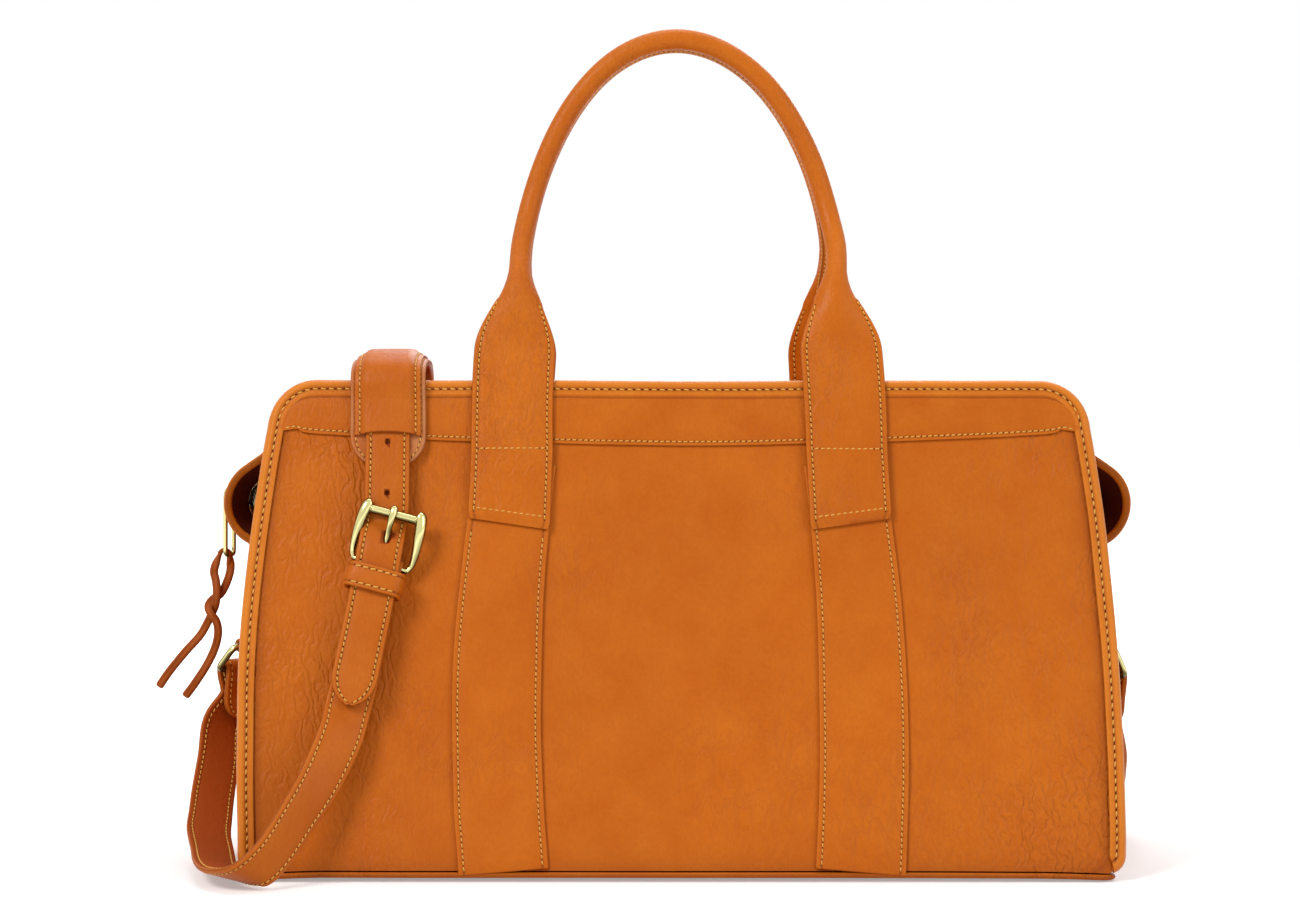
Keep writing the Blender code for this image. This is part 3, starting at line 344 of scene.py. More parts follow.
def threadFinish(name, colour, dark):
    # twisted, waxed thread
    made, tree, shader, coords = nodeTree(name)
    slant = stretched(tree, coords, (0.6, 0.7, 0.5), (1, 1, 1))
    twist = addNode(tree, "ShaderNodeTexWave", Scale=900.0, Distortion=1.5)
    tree.links.new(slant, twist.inputs["Vector"])
    tone = mixColour(tree, twist.outputs["Fac"], dark, colour)
    dirt = mapRange(tree, noiseAt(tree, coords, 90.0, 3.0), 0.40, 0.75)
    tone = mixColour(tree, times(tree, dirt, 0.4), tone, dark)
    shader.inputs["Roughness"].default_value = 0.6
    finished(tree, shader, tone, None, times(tree, twist.outputs["Fac"], 0.00008), 0.5)
    return made


def clothFinish(name, colour, pale, scale=700.0, rough=0.85):
    # close weave, such as the zip's tape
    made, tree, shader, coords = nodeTree(name)
    warp = addNode(tree, "ShaderNodeTexWave", Scale=scale, bands_direction="X")
    weft = addNode(tree, "ShaderNodeTexWave", Scale=scale, bands_direction="Y")
    tree.links.new(coords, warp.inputs["Vector"])
    tree.links.new(coords, weft.inputs["Vector"])
    weave = times(tree, warp.outputs["Fac"], weft.outputs["Fac"])
    lint = mapRange(tree, noiseAt(tree, coords, 260.0, 4.0), 0.45, 0.8)
    tone = mixColour(tree, weave, colour, pale)
    tone = mixColour(tree, times(tree, lint, 0.3), tone, pale)
    finished(tree, shader, tone, mapRange(tree, lint, 0.0, 1.0, rough, 0.95), times(tree, weave, 0.0002), 0.6)
    return made


finishes = {
    "panel": leatherFinish("panelLeather", crease=0.55, mottle=0.45, wrinkle=1.5, wrinkleFrom=0.125),
    "binding": leatherFinish("bindingLeather", mid=(0.640, 0.165, 0.0070), pale=(0.780, 0.250, 0.0220),
                             crease=0.25, rough=0.40, mottle=0.6, creaseScale=1.6),
    "trim": leatherFinish("trimLeather", mid=(0.545, 0.120, 0.0030), crease=0.40, rough=0.44, creaseScale=1.5),
    "handle": leatherFinish("handleLeather", mid=(0.575, 0.132, 0.0035), crease=0.70, rough=0.42,
                            creaseScale=1.7, wrinkle=0.5),
    # the strap's inner face is a darker red-brown: the flesh side, with painted shade
    "strap": leatherFinish("strapLeather", mid=(0.545, 0.122, 0.0045), pale=(0.680, 0.195, 0.0140),
                           flesh=(0.330, 0.050, 0.0035), crease=0.22, rough=0.44, creaseScale=1.8),
    # the ear's inner colour is near black: painted shade inside the ear's curl
    "ear": leatherFinish("earLeather", crease=0.35, flesh=(0.085, 0.012, 0.003), creaseScale=1.6),
    "thong": leatherFinish("laceLeather", deep=(0.22, 0.036, 0.003), mid=(0.410, 0.082, 0.005),
                           pale=(0.55, 0.140, 0.012), crease=0.3, creaseScale=2.2),
    "pad": leatherFinish("padLeather", mid=(0.500, 0.104, 0.0030), pale=(0.800, 0.430, 0.2000),
                         wornMix=0.9, crease=0.35, creaseScale=1.8),
    "thread": threadFinish("waxedThread", (0.86, 0.47, 0.085), (0.60, 0.27, 0.030)),
    # near black: painted shade in the awl holes and on the walls of the punched strap holes
    "hole": leatherFinish("awlHoleShade", deep=(0.03, 0.005, 0.0006), mid=(0.052, 0.009, 0.001),
                          pale=(0.07, 0.014, 0.002), rough=0.9, crease=0.0),
    # each brass's second colour serves its tarnish stain and the painted dark reflection on faces turned aside or down
    "brass": metalFinish("polishedBrass", (0.74, 0.67, 0.30), (0.085, 0.075, 0.020), 0.10),
    "agedBrass": metalFinish("agedBrass", (0.42, 0.36, 0.20), (0.14, 0.11, 0.06), 0.3, 0.7),
    "tape": clothFinish("zipTapeCloth", (0.010, 0.009, 0.009), (0.032, 0.028, 0.026)),
    "board": clothFinish("stiffenerBoard", (0.16, 0.12, 0.08), (0.24, 0.19, 0.13), 300.0),
}
print("finishes made:", len(finishes))


# making meshes

def addPiece(name, verts, faces, materials, marks=None, faceSlots=None, swayed=True, smooth=40):
    if swayed:
        verts = [p + sway(p) for p in verts]
    mesh = bpy.data.meshes.new(name)
    mesh.from_pydata([tuple(p) for p in verts], [], faces)
    if marks:
        layer = mesh.attributes.new("marks", "FLOAT_COLOR", "POINT")
        layer.data.foreach_set("color", [v for mark in marks for v in (*mark, 1.0)])
    for material in materials:
        mesh.materials.append(finishes[material])
    if faceSlots:
        mesh.polygons.foreach_set("material_index", faceSlots)
    mesh.validate()
    work = bmesh.new()
    work.from_mesh(mesh)
    bmesh.ops.recalc_face_normals(work, faces=work.faces)
    work.to_mesh(mesh)
    work.free()
    mesh.shade_smooth()
    if smooth < 180:
        mesh.set_sharp_from_angle(angle=math.radians(smooth))
    made = bpy.data.objects.new(name, mesh)
    bpy.context.scene.collection.objects.link(made)
    return made


def loftRows(rows, ring=False, capped=True):
    # rows of equal count, each a closed loop: verts and faces
    count = len(rows[0])
    verts = [p for row in rows for p in row]
    faces = []
    spans = len(rows) if ring else len(rows) - 1
    for r in range(spans):
        a, b = r * count, ((r + 1) % len(rows)) * count
        for i in range(count):
            j = (i + 1) % count
            faces.append((a + i, a + j, b + j, b + i))
    if capped and not ring:
        faces.append(tuple(range(count))[::-1])
        faces.append(tuple((len(rows) - 1) * count + i for i in range(count)))
    return verts, faces


def joined(parts):
    verts, faces = [], []
    for v, f in parts:
        first = len(verts)
        verts += v
        faces += [tuple(first + i for i in face) for face in f]
    return verts, faces


def placed(piece, body, nodes=()):
    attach(piece, body)
    if nodes:
        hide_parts(*nodes)
    return piece


edgeRoll = 0.42  # a cut edge's rounding, as a share of the thickness


def stripSection(half, thick, inset=0.0035, crown=0.00025, dip=0.00030, bothFaces=False, middle=4):
    # a cut strip's section with rolled edges: (across, up, groove, edge lightening), the outer face first; the edge
    # lightening is painted highlight with some wear
    r = thick * edgeRoll
    line = half - inset
    marks = []
    around = []
    for a in steps(math.pi, math.pi / 2, 3):
        around.append((-half + r + r * math.cos(a), thick / 2 - r + r * math.sin(a)))
    inner = [line - d for d in (-0.0010, -0.0004, 0.0, 0.0004, 0.0010)]
    tops = [-x for x in inner] + steps(-line + 0.0010, line - 0.0010, middle)[1:-1] + inner[::-1]
    tops = sorted(max(r - half, min(half - r, x)) for x in tops)
    outline = []
    for face in (1, -1):
        rim = [(x * face, y * face) for x, y in around]
        rim2 = [(-x * face, y * face) for x, y in around[::-1]]
        flats = [(x * face, face * thick / 2) for x in tops]
        outline += [(p, face) for p in rim] + [(p, face) for p in flats] + [(p, face) for p in rim2]
    for (x, y), face in outline:
        near = math.exp(-((abs(x) - line) / 0.00055) ** 2) if face > 0 or bothFaces else 0.0
        flat = max(0.0, 1 - (x / half) ** 2)
        lift = crown * flat - dip * near
        edge = smoothStep((abs(x) - half + 0.0016) / 0.0016)
        side = smoothStep(1 - (abs(y) - (thick / 2 - r)) / r) * edge
        groove = min(1.0, 0.55 * near + 0.50 * side)
        # the top face is lightened beside its rounded edges: painted highlight, with some wear
        worn = max(0.0, edge - side) * 0.5
        marks.append((x, y + face * lift * (1 if abs(y) > thick / 2 - r * 0.3 else 0), groove, worn))
    return marks


def strip(name, centres, acrosses, outs, halves, thick, material, inset=0.0035, crown=0.00025, dip=0.0003,
          bothFaces=False, innerFleshAndShade=False, middle=4, swayed=True, roundEnds=True, bend=None, endBow=0.0,
          warp=None):
    # a cut leather strip along a path. Gives the piece and its two stitch lines as (point, out).
    # One way across, one way out or one half width holds for the whole path.
    path = [Vector(c) for c in centres]
    acrosses, outs, halves = (v if isinstance(v, list) else [v] * len(path) for v in (acrosses, outs, halves))
    along = tangentsOf(path)
    rows, marks, left, right = [], [], [], []
    extra = []
    for spot, t, across, wanted, half in zip(path, along, acrosses, outs, halves):
        across = (across - across.dot(t) * t).normalized()
        out = across.cross(t)
        if out.dot(wanted) < 0:
            out = -out
        extra.append((spot, across, out.normalized(), half))
    r = thick * edgeRoll
    stations = []
    if roundEnds:
        c, a, o, h = extra[0]
        stations += [(c, a, o, h, 1.0), (c + along[0] * r * 0.3, a, o, h, 0.45)]
        extra[0] = (c + along[0] * r, a, o, h)
    stations += [(*e, 0.0) for e in extra]
    if roundEnds:
        c, a, o, h = extra[-1]
        stations[-1] = (c - along[-1] * r, a, o, h, 0.0)
        stations += [(c - along[-1] * r * 0.3, a, o, h, 0.45), (c, a, o, h, 1.0)]
    reach = endBow * 6
    for c, across, out, half, tuck in stations:
        section = stripSection(half, thick, inset, crown, dip, bothFaces, middle)
        row = []
        pushed = Vector((0, 0, 0))
        if endBow:
            low, high = (c - path[0]).length, (c - path[-1]).length
            near = max(0.0, 1 - min(low, high) / reach)
            pushed = (along[-1] if high < low else -along[0]) * endBow * near
        for x, y, groove, worn in section:
            squeeze = 1 - tuck * 0.55
            x = math.copysign(max(0.0, abs(x) - r * tuck), x) if abs(x) > half * 0.5 else x
            lower = bend(x) if bend else 0.0
            spot = c + across * x + out * (y * squeeze + lower) - pushed * (1 - (x / half) ** 2)
            row.append(warp(spot) if warp else spot)
            inner = float(innerFleshAndShade) if y < -thick * 0.3 else 0.0
            marks.append((min(1.0, groove + 0.5 * tuck), worn, inner))
        rows.append(row)
        lift = thick / 2 + crown * (1 - ((half - inset) / half) ** 2) - dip * 0.8
        lift += bend(half - inset) if bend else 0.0
        line = max(half * 0.25, half - inset)
        ends = [c - across * line + out * lift, c + across * line + out * lift]
        if warp:
            ends = [warp(p) for p in ends]
        left.append((ends[0], out))
        right.append((ends[1], out))
    verts, faces = loftRows(rows)
    piece = addPiece(name, verts, faces, [material], marks, swayed=swayed)
    return piece, left, right


# stitching

stitching = {"pitch": 0.0034, "length": 0.0027, "thick": 0.00046, "hole": 0.00046, "slant": 0.16}


def stitchShape(sides=6, rings=6):
    # one stitch: a fat thread that dives into the leather at both ends
    half = stitching["length"] / 2
    rows = []
    for t in steps(-1, 1, rings):
        size = stitching["thick"] * math.sqrt(max(0.08, 1 - abs(t) ** 3.5))
        rise = stitching["thick"] * (0.55 - abs(t) ** 4)
        rows.append([(t * half, size * math.cos(a), rise + size * math.sin(a)) for a in circle(sides)])
    return loftRows(rows)


def holeShape(sides=7):
    # a flat disc on the surface, coloured near black: painted shade of the awl hole
    r = stitching["hole"]
    verts = [(0.0, 0.0, 0.00006)] + [(r * 0.8 * math.cos(a), r * math.sin(a), 0.00002) for a in circle(sides)]
    faces = [(0, 1 + s, 1 + (s + 1) % sides) for s in range(sides)]
    return verts, faces


def evenly(line, pitch, margin):
    # points at an even pitch along a line of (point, out)
    lengths = lengthsOf([p for p, _ in line])
    total = lengths[-1] - 2 * margin
    count = max(1, round(total / pitch))
    found = []
    k = 0
    for i in range(count + 1):
        at = margin + total * i / count
        while k < len(lengths) - 2 and lengths[k + 1] < at:
            k += 1
        span = max(1e-9, lengths[k + 1] - lengths[k])
        t = (at - lengths[k]) / span
        found.append((mixed(line[k][0], line[k + 1][0], t), mixed(line[k][1], line[k + 1][1], t).normalized()))
    return found


def sew(name, lines, body, margin=0.003, slantSign=1, blendTo=None, size=1.0, hole=1.0,
        cover=1.0):
    # rows of stitches, with an awl hole between each two
    stitchVerts, stitchFaces = stitchShape()
    holeVerts, holeFaces = holeShape()
    stout = 0.5 + 0.5 * size
    stitchVerts = [(x * size * cover, y * stout, z * stout) for x, y, z in stitchVerts]
    holeVerts = [(x * size * hole, y * stout * hole, z) for x, y, z in holeVerts]
    parts, slots = [], []
    for line in lines:
        spots = evenly(line, stitching["pitch"] * size, margin)
        for i, (spot, out) in enumerate(spots):
            ahead = spots[i + 1][0] if i + 1 < len(spots) else spot + (spot - spots[i - 1][0])
            along = ahead - spot
            along = (along - along.dot(out) * out).normalized()
            sideways = out.cross(along)
            parts.append(([spot + along * x + sideways * y + out * z for x, y, z in holeVerts], holeFaces))
            slots += [1] * len(holeFaces)
            if i + 1 == len(spots):
                continue
            middle = (spot + spots[i + 1][0]) / 2
            turn = stitching["slant"] * slantSign * (0.8 + 0.4 * noise.noise(middle * 300))
            a = along * math.cos(turn) + sideways * math.sin(turn)
            b = sideways * math.cos(turn) - along * math.sin(turn)
            parts.append(([middle + a * x + b * y + out * z for x, y, z in stitchVerts], stitchFaces))
            slots += [0] * len(stitchFaces)
    piece = addPiece(name, *joined(parts), ["thread", "hole"], None, slots, smooth=180)
    if blendTo:
        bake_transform(piece)
    else:
        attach(piece, body)


# walls of the bag

walls = {"columns": 110, "rows": 64, "tuck": 0.0016, "lip": 0.0088}


def makePanel(word, side):
    verts, faces, marks = [], [], []
    heights = steps(panelLow, bag["height"] - walls["tuck"], walls["rows"])
    shares = steps(-1, 1, walls["columns"])
    for face, level in ((0, 0.0), (1, -bag["panel"])):
        for z in heights:
            half = panelHalf(z, walls["tuck"])
            for u in shares:
                x = u * half
                verts.append(onPanel(x, z, level, side))
                # painted shade: the panel is darkened along the binding's inner edge at both sides, under the binding,
                # and near the floor
                rim = half - abs(x)
                shade = max(0.55 * math.exp(-((rim - walls["lip"]) / 0.0014) ** 2),
                            0.30 * math.exp(-max(0.0, rim - walls["lip"]) / 0.006),
                            0.35 * math.exp(-max(0.0, z - 0.004) / 0.006))
                marks.append((shade * 0.8 if face == 0 else 0.1, 0.0, float(face)))
    count, rowsCount = len(shares), len(heights)
    for face in (0, 1):
        base = face * count * rowsCount
        for r in range(rowsCount - 1):
            for c in range(count - 1):
                a = base + r * count + c
                faces.append((a, a + 1, a + 1 + count, a + count))
    rim = [r * count for r in range(rowsCount)] + [(rowsCount - 1) * count + c for c in range(1, count)]
    rim += [r * count + count - 1 for r in range(rowsCount - 2, -1, -1)] + list(range(count - 2, 0, -1))
    other = count * rowsCount
    for i, a in enumerate(rim):
        b = rim[(i + 1) % len(rim)]
        faces.append((a, b, b + other, a + other))
    piece = addPiece(f"{word}PanelLeather", verts, faces, ["panel"], marks, smooth=60)
    placed(piece, "bag", [f"{word}_panel"])


def rimPoints(inset, sideSteps=46, cornerSteps=14, topSteps=90):
    # the panel's edge from the right foot over the top to the left foot, moved in by inset: (x, z)
    top = bag["height"] - bag["topCorner"]
    low = panelLow + bag["lowCorner"]
    right = []
    for a in steps(-1.25, 0, 4)[:-1]:
        r = bag["lowCorner"] - inset
        right.append((sideHalf(0) - bag["lowCorner"] + r * math.cos(a), low + r * math.sin(a)))
    right += [(sideHalf(z) - inset, z) for z in steps(low, top, sideSteps)]
    cornerX = sideHalf(top) - bag["topCorner"]
    for a in steps(0, math.pi / 2, cornerSteps)[1:]:
        r = bag["topCorner"] - inset
        right.append((cornerX + r * math.cos(a), top + r * math.sin(a)))
    across = [(x, bag["height"] - inset) for x in steps(cornerX, -cornerX, topSteps)[1:-1]]
    return right + across + [(-x, z) for x, z in reversed(right)]


binding = {"stitchInset": 0.0059, "width": 0.0100, "backWidth": 0.0085, "swell": 0.0009, "thick": 0.0015}
gussets = {"thick": 0.0020, "pinch": 0.022, "pinchStart": 0.190, "topDrop": 0.037}


def makeBinding(word, side):
    # folded strip: flat lip, stitch groove, swollen edge, round the rim and down the inside
    g = bag["gap"]
    back = -(bag["panel"] + gussets["thick"] + 2 * g)
    w, s = binding["width"], binding["stitchInset"]
    # rows of (inset, level, groove, lightening); the lightening on the swollen edge and round the rim is painted
    # highlight
    outline = [
        (w, g, 0.9, 0), (w + 0.0001, g + 0.0009, 0.45, 0.3), (w - 0.0004, g + 0.0014, 0.0, 0.8),
        (w - 0.0012, g + 0.0016, 0.0, 0.3), (s + 0.0014, g + 0.0015, 0.05, 0.1), (s + 0.0007, g + 0.0013, 0.3, 0),
        (s + 0.0003, g + 0.0009, 0.6, 0), (s - 0.0001, g + 0.0009, 0.6, 0), (s - 0.0006, g + 0.0014, 0.3, 0.1),
        (s - 0.0016, g + 0.0020, 0.0, 0.4), (0.0030, g + 0.0020, 0.0, 0.7), (0.0018, g + 0.0011, 0.0, 0.8),
        (0.0008, g - 0.0003, 0.0, 0.7), (0.0002, g - 0.0019, 0.0, 0.4), (0.0, -0.0032, 0.05, 0.2),
        (0.0003, back + 0.0010, 0.1, 0.2), (0.0010, back - 0.0004, 0.1, 0.3), (0.0022, back - 0.0013, 0.0, 0.4),
        (0.0040, back - 0.0016, 0.0, 0.2), (s - 0.0004, back - 0.0012, 0.4, 0), (s + 0.0004, back - 0.0012, 0.4, 0),
        (binding["backWidth"] - 0.0006, back - 0.0015, 0.1, 0.2), (binding["backWidth"], back - 0.0008, 0.5, 0),
        (binding["backWidth"], back, 0.8, 0),
    ]
    rims = [rimPoints(inset) for inset, _, _, _ in outline]
    rows, marks = [], []
    front, behind = [], []
    out = panelOut(side)
    for i in range(len(rims[0])):
        row = []
        swell = binding["swell"] * noise.noise(Vector((rims[0][i][0] * 40, rims[0][i][1] * 40, side * 7.0)))
        for (inset, level, groove, worn), rim in zip(outline, rims):
            grow = swell * 0.35 if inset < s - 0.001 and level > -0.002 else 0.0
            row.append(onPanel(*rim[i], level + grow, side))
            marks.append((groove, worn, 0.0))
        rows.append(row)
        front.append((row[7] + (row[6] - row[7]) * 0.5 + out * 0.0001, out))
        behind.append((row[19] + (row[20] - row[19]) * 0.5 - out * 0.0001, -out))
    piece = addPiece(f"{word}BindingStrip", *loftRows(rows), ["binding"], marks, smooth=75)
    placed(piece, "bag", [f"{word}_binding"])
    sew(f"{word}BindingStitches", [front, behind], "bag", slantSign=side, size=1.38, hole=1.65,
        cover=0.86)


yoke = {"dropSide": 0.031, "dropMiddle": 0.0385, "thick": 0.0015, "inset": 0.0024, "underLip": 0.0085}


def makeYoke(word, side):
    reach = panelHalf(bag["height"] - yoke["dropSide"]) - yoke["underLip"]
    top = bag["height"] - bag["topCorner"]
    cornerX = sideHalf(top) - bag["topCorner"]
    centres, halves = [], []
    for x in steps(-reach, reach, 110):
        away = (x / sideHalf(bag["height"])) ** 2
        low = bag["height"] - yoke["dropMiddle"] + (yoke["dropMiddle"] - yoke["dropSide"]) * away
        high = bag["height"] - yoke["underLip"]
        if abs(x) > cornerX:
            r = bag["topCorner"] - yoke["underLip"]
            high = top + math.sqrt(max(0.0, r * r - (abs(x) - cornerX) ** 2))
        high = max(high, low + 0.0015)
        centres.append(onPanel(x, (low + high) / 2, bag["gap"] + yoke["thick"] / 2, side))
        halves.append((high - low) / 2 / math.cos(lean))
    piece, low, _ = strip(f"{word}YokeLeather", centres, panelUp(side), panelOut(side), halves, yoke["thick"],
                          "trim", yoke["inset"], 0.0001, 0.0002, roundEnds=False)
    placed(piece, "bag", [f"{word}_yoke"])
    sew(f"{word}YokeStitches", [low], "bag", margin=0.002)


bands = {"width": 0.0515, "spacing": 0.0990, "bow": 0.0055, "bowHeight": 0.095, "thick": 0.0020,
         "inset": 0.0033}
tabs = {"width": 0.0475, "spacing": 0.0973, "thick": 0.0025, "lowOuter": 0.2020, "lowInner": 0.1950,
        "fold": 0.2416}
tabLevel = 2 * bag["gap"] + bands["thick"]


def bandCentre(z):
    away = ((z - bands["bowHeight"]) / (tabs["lowOuter"] - bands["bowHeight"])) ** 2
    return bands["spacing"] + bands["bow"] * (1 - away)


def makeBands(word, side):
    top = tabs["fold"] - 0.006
    for hand, sign in (("left", -1), ("right", 1)):
        centres, halves = [], []
        for z in steps(panelLow - 0.001, top, 46):
            narrow = smoothStep((z - 0.1) / (top - 0.1))
            centres.append(onPanel(sign * bandCentre(z), z, bag["gap"] + bands["thick"] / 2, side))
            halves.append((bands["width"] + (tabs["width"] - bands["width"]) * narrow) / 2 - bag["gap"])
        piece, left, right = strip(f"{word}{hand.title()}BandLeather", centres, acrossX, panelOut(side), halves,
                                   bands["thick"], "panel", bands["inset"], 0.0002, 0.0003, middle=10)
        placed(piece, "bag", [f"{word}_{hand}_band"])
        keep = [k for k, (p, _) in enumerate(left) if p.z < tabs["lowInner"] + 0.004]
        sew(f"{word}{hand.title()}BandStitches", [[left[k] for k in keep], [right[k] for k in keep]], "bag",
            margin=0.002)


for side, word in ((-1, "front"), (1, "back")):
    makePanel(word, side)
    makeBinding(word, side)
    makeYoke(word, side)
    makeBands(word, side)
print("walls made")


handles = {"span": 0.0924, "rise": 0.1548, "flareStart": 0.2976, "flareLength": 0.054, "spring": 0.3306,
           "round": 0.0061, "between": 0.0073, "meetStart": 0.3190, "meetLength": 0.088, "cup": 0.0022,
           "seamThick": 0.0011, "seamTurn": math.radians(58), "seamOut": 0.0019, "stitchInset": 0.0034,
           "slackLeft": 0.0020, "slackRight": 0.0046}


def handleStations():
    # (x, z) centres and the (x, z) of half a width, from the left tab's slanted foot over to the right one
    half = tabs["width"] / 2
    leg = []
    footZ = (tabs["lowOuter"] + tabs["lowInner"]) / 2
    slope = (tabs["lowOuter"] - tabs["lowInner"]) / 2
    for t in steps(0, 1, 12):
        x = mixed(-bands["spacing"], -tabs["spacing"], t)
        leg.append(((x, mixed(footZ, tabs["fold"], t)), (half, -slope * (1 - t))))
    for z in steps(tabs["fold"], handles["spring"], 34)[1:]:
        t = (z - tabs["fold"]) / (handles["spring"] - tabs["fold"])
        leg.append(((mixed(-tabs["spacing"], -handles["span"], t * t), z), None))
    arch = []
    for a in steps(math.pi, 0, 84)[1:-1]:
        x, z = handles["span"] * math.cos(a), handles["spring"] + handles["rise"] * math.sin(a)
        # the grip has settled a little wider, more so on the right
        spread = smoothStep((z - handles["spring"]) / 0.040)
        x += spread * mixed(-handles["slackLeft"], handles["slackRight"], smoothStep((math.cos(a) + 1) / 2))
        arch.append(((x, z), None))
    other = [((-x, z), (-w[0], w[1]) if w else None) for (x, z), w in reversed(leg)]
    return leg + arch + other


def handleSeam(word, side, flange):
    # the two edges that meet under the roll, turned inward and sewn together
    rows, marks, front, behind = [], [], [], []
    t = handles["seamThick"]
    c, n = math.cos(handles["seamTurn"]), math.sin(handles["seamTurn"])
    inner = handles["round"] - 0.0012
    for cx, cz, right, level, grow, out in flange:
        edge = mixed(handles["round"] - 0.0003, handles["round"] + handles["seamOut"], grow)
        half = ((inner, t, 0.7), (inner + 0.0010, t * 1.05, 0.5), (edge - 0.0006, t, 0.1),
                (edge - 0.0001, t * 0.6, 0.2), (edge, t * 0.12, 0.75))
        mid = mixed(handles["round"], edge, 0.5)
        section = [*half, *((far, -wide, groove) for far, wide, groove in reversed(half)),
                   (mid, t * 1.02, 0), (mid, -t * 1.02, 0)]
        spots = []
        for far, wide, _ in section:
            px, py = c * far + n * wide, -n * far + c * wide
            spots.append(onPanel(cx + right.x * px, cz + right.y * px, level + py, side))
        rows.append(spots[:-2])
        marks += [(groove, 0.5 if abs(wide) > t * 0.9 else 0.8, 0.0) for _, wide, groove in section[:-2]]
        aside = (Vector((right.x, 0, right.y)) * n + out * c).normalized()
        front.append((spots[-2], aside))
        behind.append((spots[-1], -aside))
    seam = addPiece(f"{word}HandleSeam", *loftRows(rows), ["binding"], marks, smooth=60)
    placed(seam, f"{word}_handle")
    return [front, behind]


def makeHandle(word, side):
    stations = handleStations()
    along = tangentsOf([Vector((x, z)) for (x, z), _ in stations])
    thick, width, r = tabs["thick"], tabs["width"], handles["round"]
    flat = stripSection(width / 2, thick, handles["stitchInset"], 0.0003, 0.0003, True, 8)
    rows, marks, flange = [], [], []
    lines = {"outer": [], "inner": [], "outerBack": [], "innerBack": []}
    body = f"{word}_handle"
    out = panelOut(side)
    line = width / 2 - handles["stitchInset"]
    last = len(stations) - 1
    for k, (((cx, cz), wide), ahead) in enumerate(zip(stations, along)):
        roll = smoothStep((cz - handles["flareStart"]) / handles["flareLength"])
        squeeze, tuck = (0.45, thick * edgeRoll) if k in (0, last) else (1.0, 0.0)
        right = Vector(wide) / (width / 2) if wide else Vector((ahead.y, -ahead.x))
        # above the spring both handles lean in and rest side by side
        meet = smoothStep((cz - handles["meetStart"]) / handles["meetLength"])
        level = mixed(tabLevel + thick / 2, r, roll)
        level = mixed(level, (handles["between"] - panelDepth(cz)) / math.cos(lean), meet)

        def rolled(flatX, flatY, share, angle):
            # half-way the leather cups: its edges curl back before they meet
            cup = handles["cup"] * math.sin(math.pi * roll) * (abs(2 * share - 1) ** 2)
            px = mixed(flatX, r * math.cos(angle), roll)
            py = mixed(flatY, r * math.sin(angle), roll) - cup
            return onPanel(cx + right.x * px, cz + right.y * px, level + py, side)

        row = []
        fade = 1 - smoothStep((roll - 0.25) / 0.35)
        for x, y, groove, worn in flat:
            share = (x + width / 2) / width
            flatX = math.copysign(abs(x) - tuck, x) if abs(x) > width * 0.4 else x
            row.append(rolled(flatX, y * squeeze, share, math.pi * (1 - share) * (1 if y > 0 else -1)))
            marks.append((groove * fade, worn * fade, 0.0))
        rows.append(row)
        if 0 < k < last and roll < 0.62:
            for sign, name in ((-1, "outer"), (1, "inner")):
                share = sign * line / width + 0.5
                angle = math.pi * (1 - share)
                tip = (out + Vector((right.x, 0, right.y)) * sign * 0.9 * roll).normalized()
                lines[name].append((k, rolled(sign * line, thick / 2, share, angle), tip))
                if cz > tabs["fold"] + 0.004:
                    lines[name + "Back"].append((k, rolled(sign * line, -thick / 2, share, -angle), -out))
        if roll > 0.55:
            flange.append((cx, cz, right, level, smoothStep((roll - 0.55) / 0.4), out))
    piece = addPiece(f"{word}HandleLeather", *loftRows(rows), ["handle"], marks, smooth=75)
    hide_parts(body, f"{word}_left_tab", f"{word}_right_tab")
    hinge = onPanel(0, tabs["fold"], tabLevel + thick, side)
    start, end = tuple(hinge - Vector((0, 0, 0.004))), tuple(hinge + Vector((0, 0, 0.004)))
    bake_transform(piece)
    seamLines = handleSeam(word, side, flange)

    # stitching: both edges of each tab, its foot, the fold line, and the seam under the roll
    sewn = []
    for name in ("outer", "inner", "outerBack", "innerBack"):
        sewn.append([(p, o) for k, p, o in lines[name] if k < (last + 1) / 2])
        sewn.append([(p, o) for k, p, o in lines[name] if k > (last + 1) / 2])
    foldLevel = tabLevel + thick + 0.00015
    for sign, at in ((-1, 0), (1, -1)):
        _, outer, face = lines["outer"][at]
        across = lines["inner"][at][1] - outer
        sewn.append([(outer + panelUp(side) * 0.0030 + across * s, face) for s in steps(0, 1, 8)])
        sewn.append([(onPanel(sign * tabs["spacing"] + line * s, tabs["fold"], foldLevel, side), out)
                     for s in steps(-1, 1, 8)])
    sew(f"{word}TabStitches", sewn, "bag", margin=0.001, blendTo=("bag", body, start, end))
    sew(f"{word}SeamStitches", seamLines, body, margin=0.004, size=0.9)


def gussetPoint(z, share, offset=0.0):
    # a point on the end wall: share runs -1 (front) to 1 (back), offset is outwards
    reach = panelDepth(z) - (bag["panel"] + bag["gap"]) / math.cos(lean) - gussets["thick"] / 2
    lift = max(0.0, z - gussets["pinchStart"]) / (bag["height"] - gussets["pinchStart"])
    wall = sideHalf(z) - binding["width"] - gussets["thick"] / 2
    sagIn = 0.0035 * (1 - share ** 2) * math.sin(math.pi * min(1, z / 0.24))
    return wall - gussets["pinch"] * lift * (1 - share ** 2) - sagIn + offset, share * reach


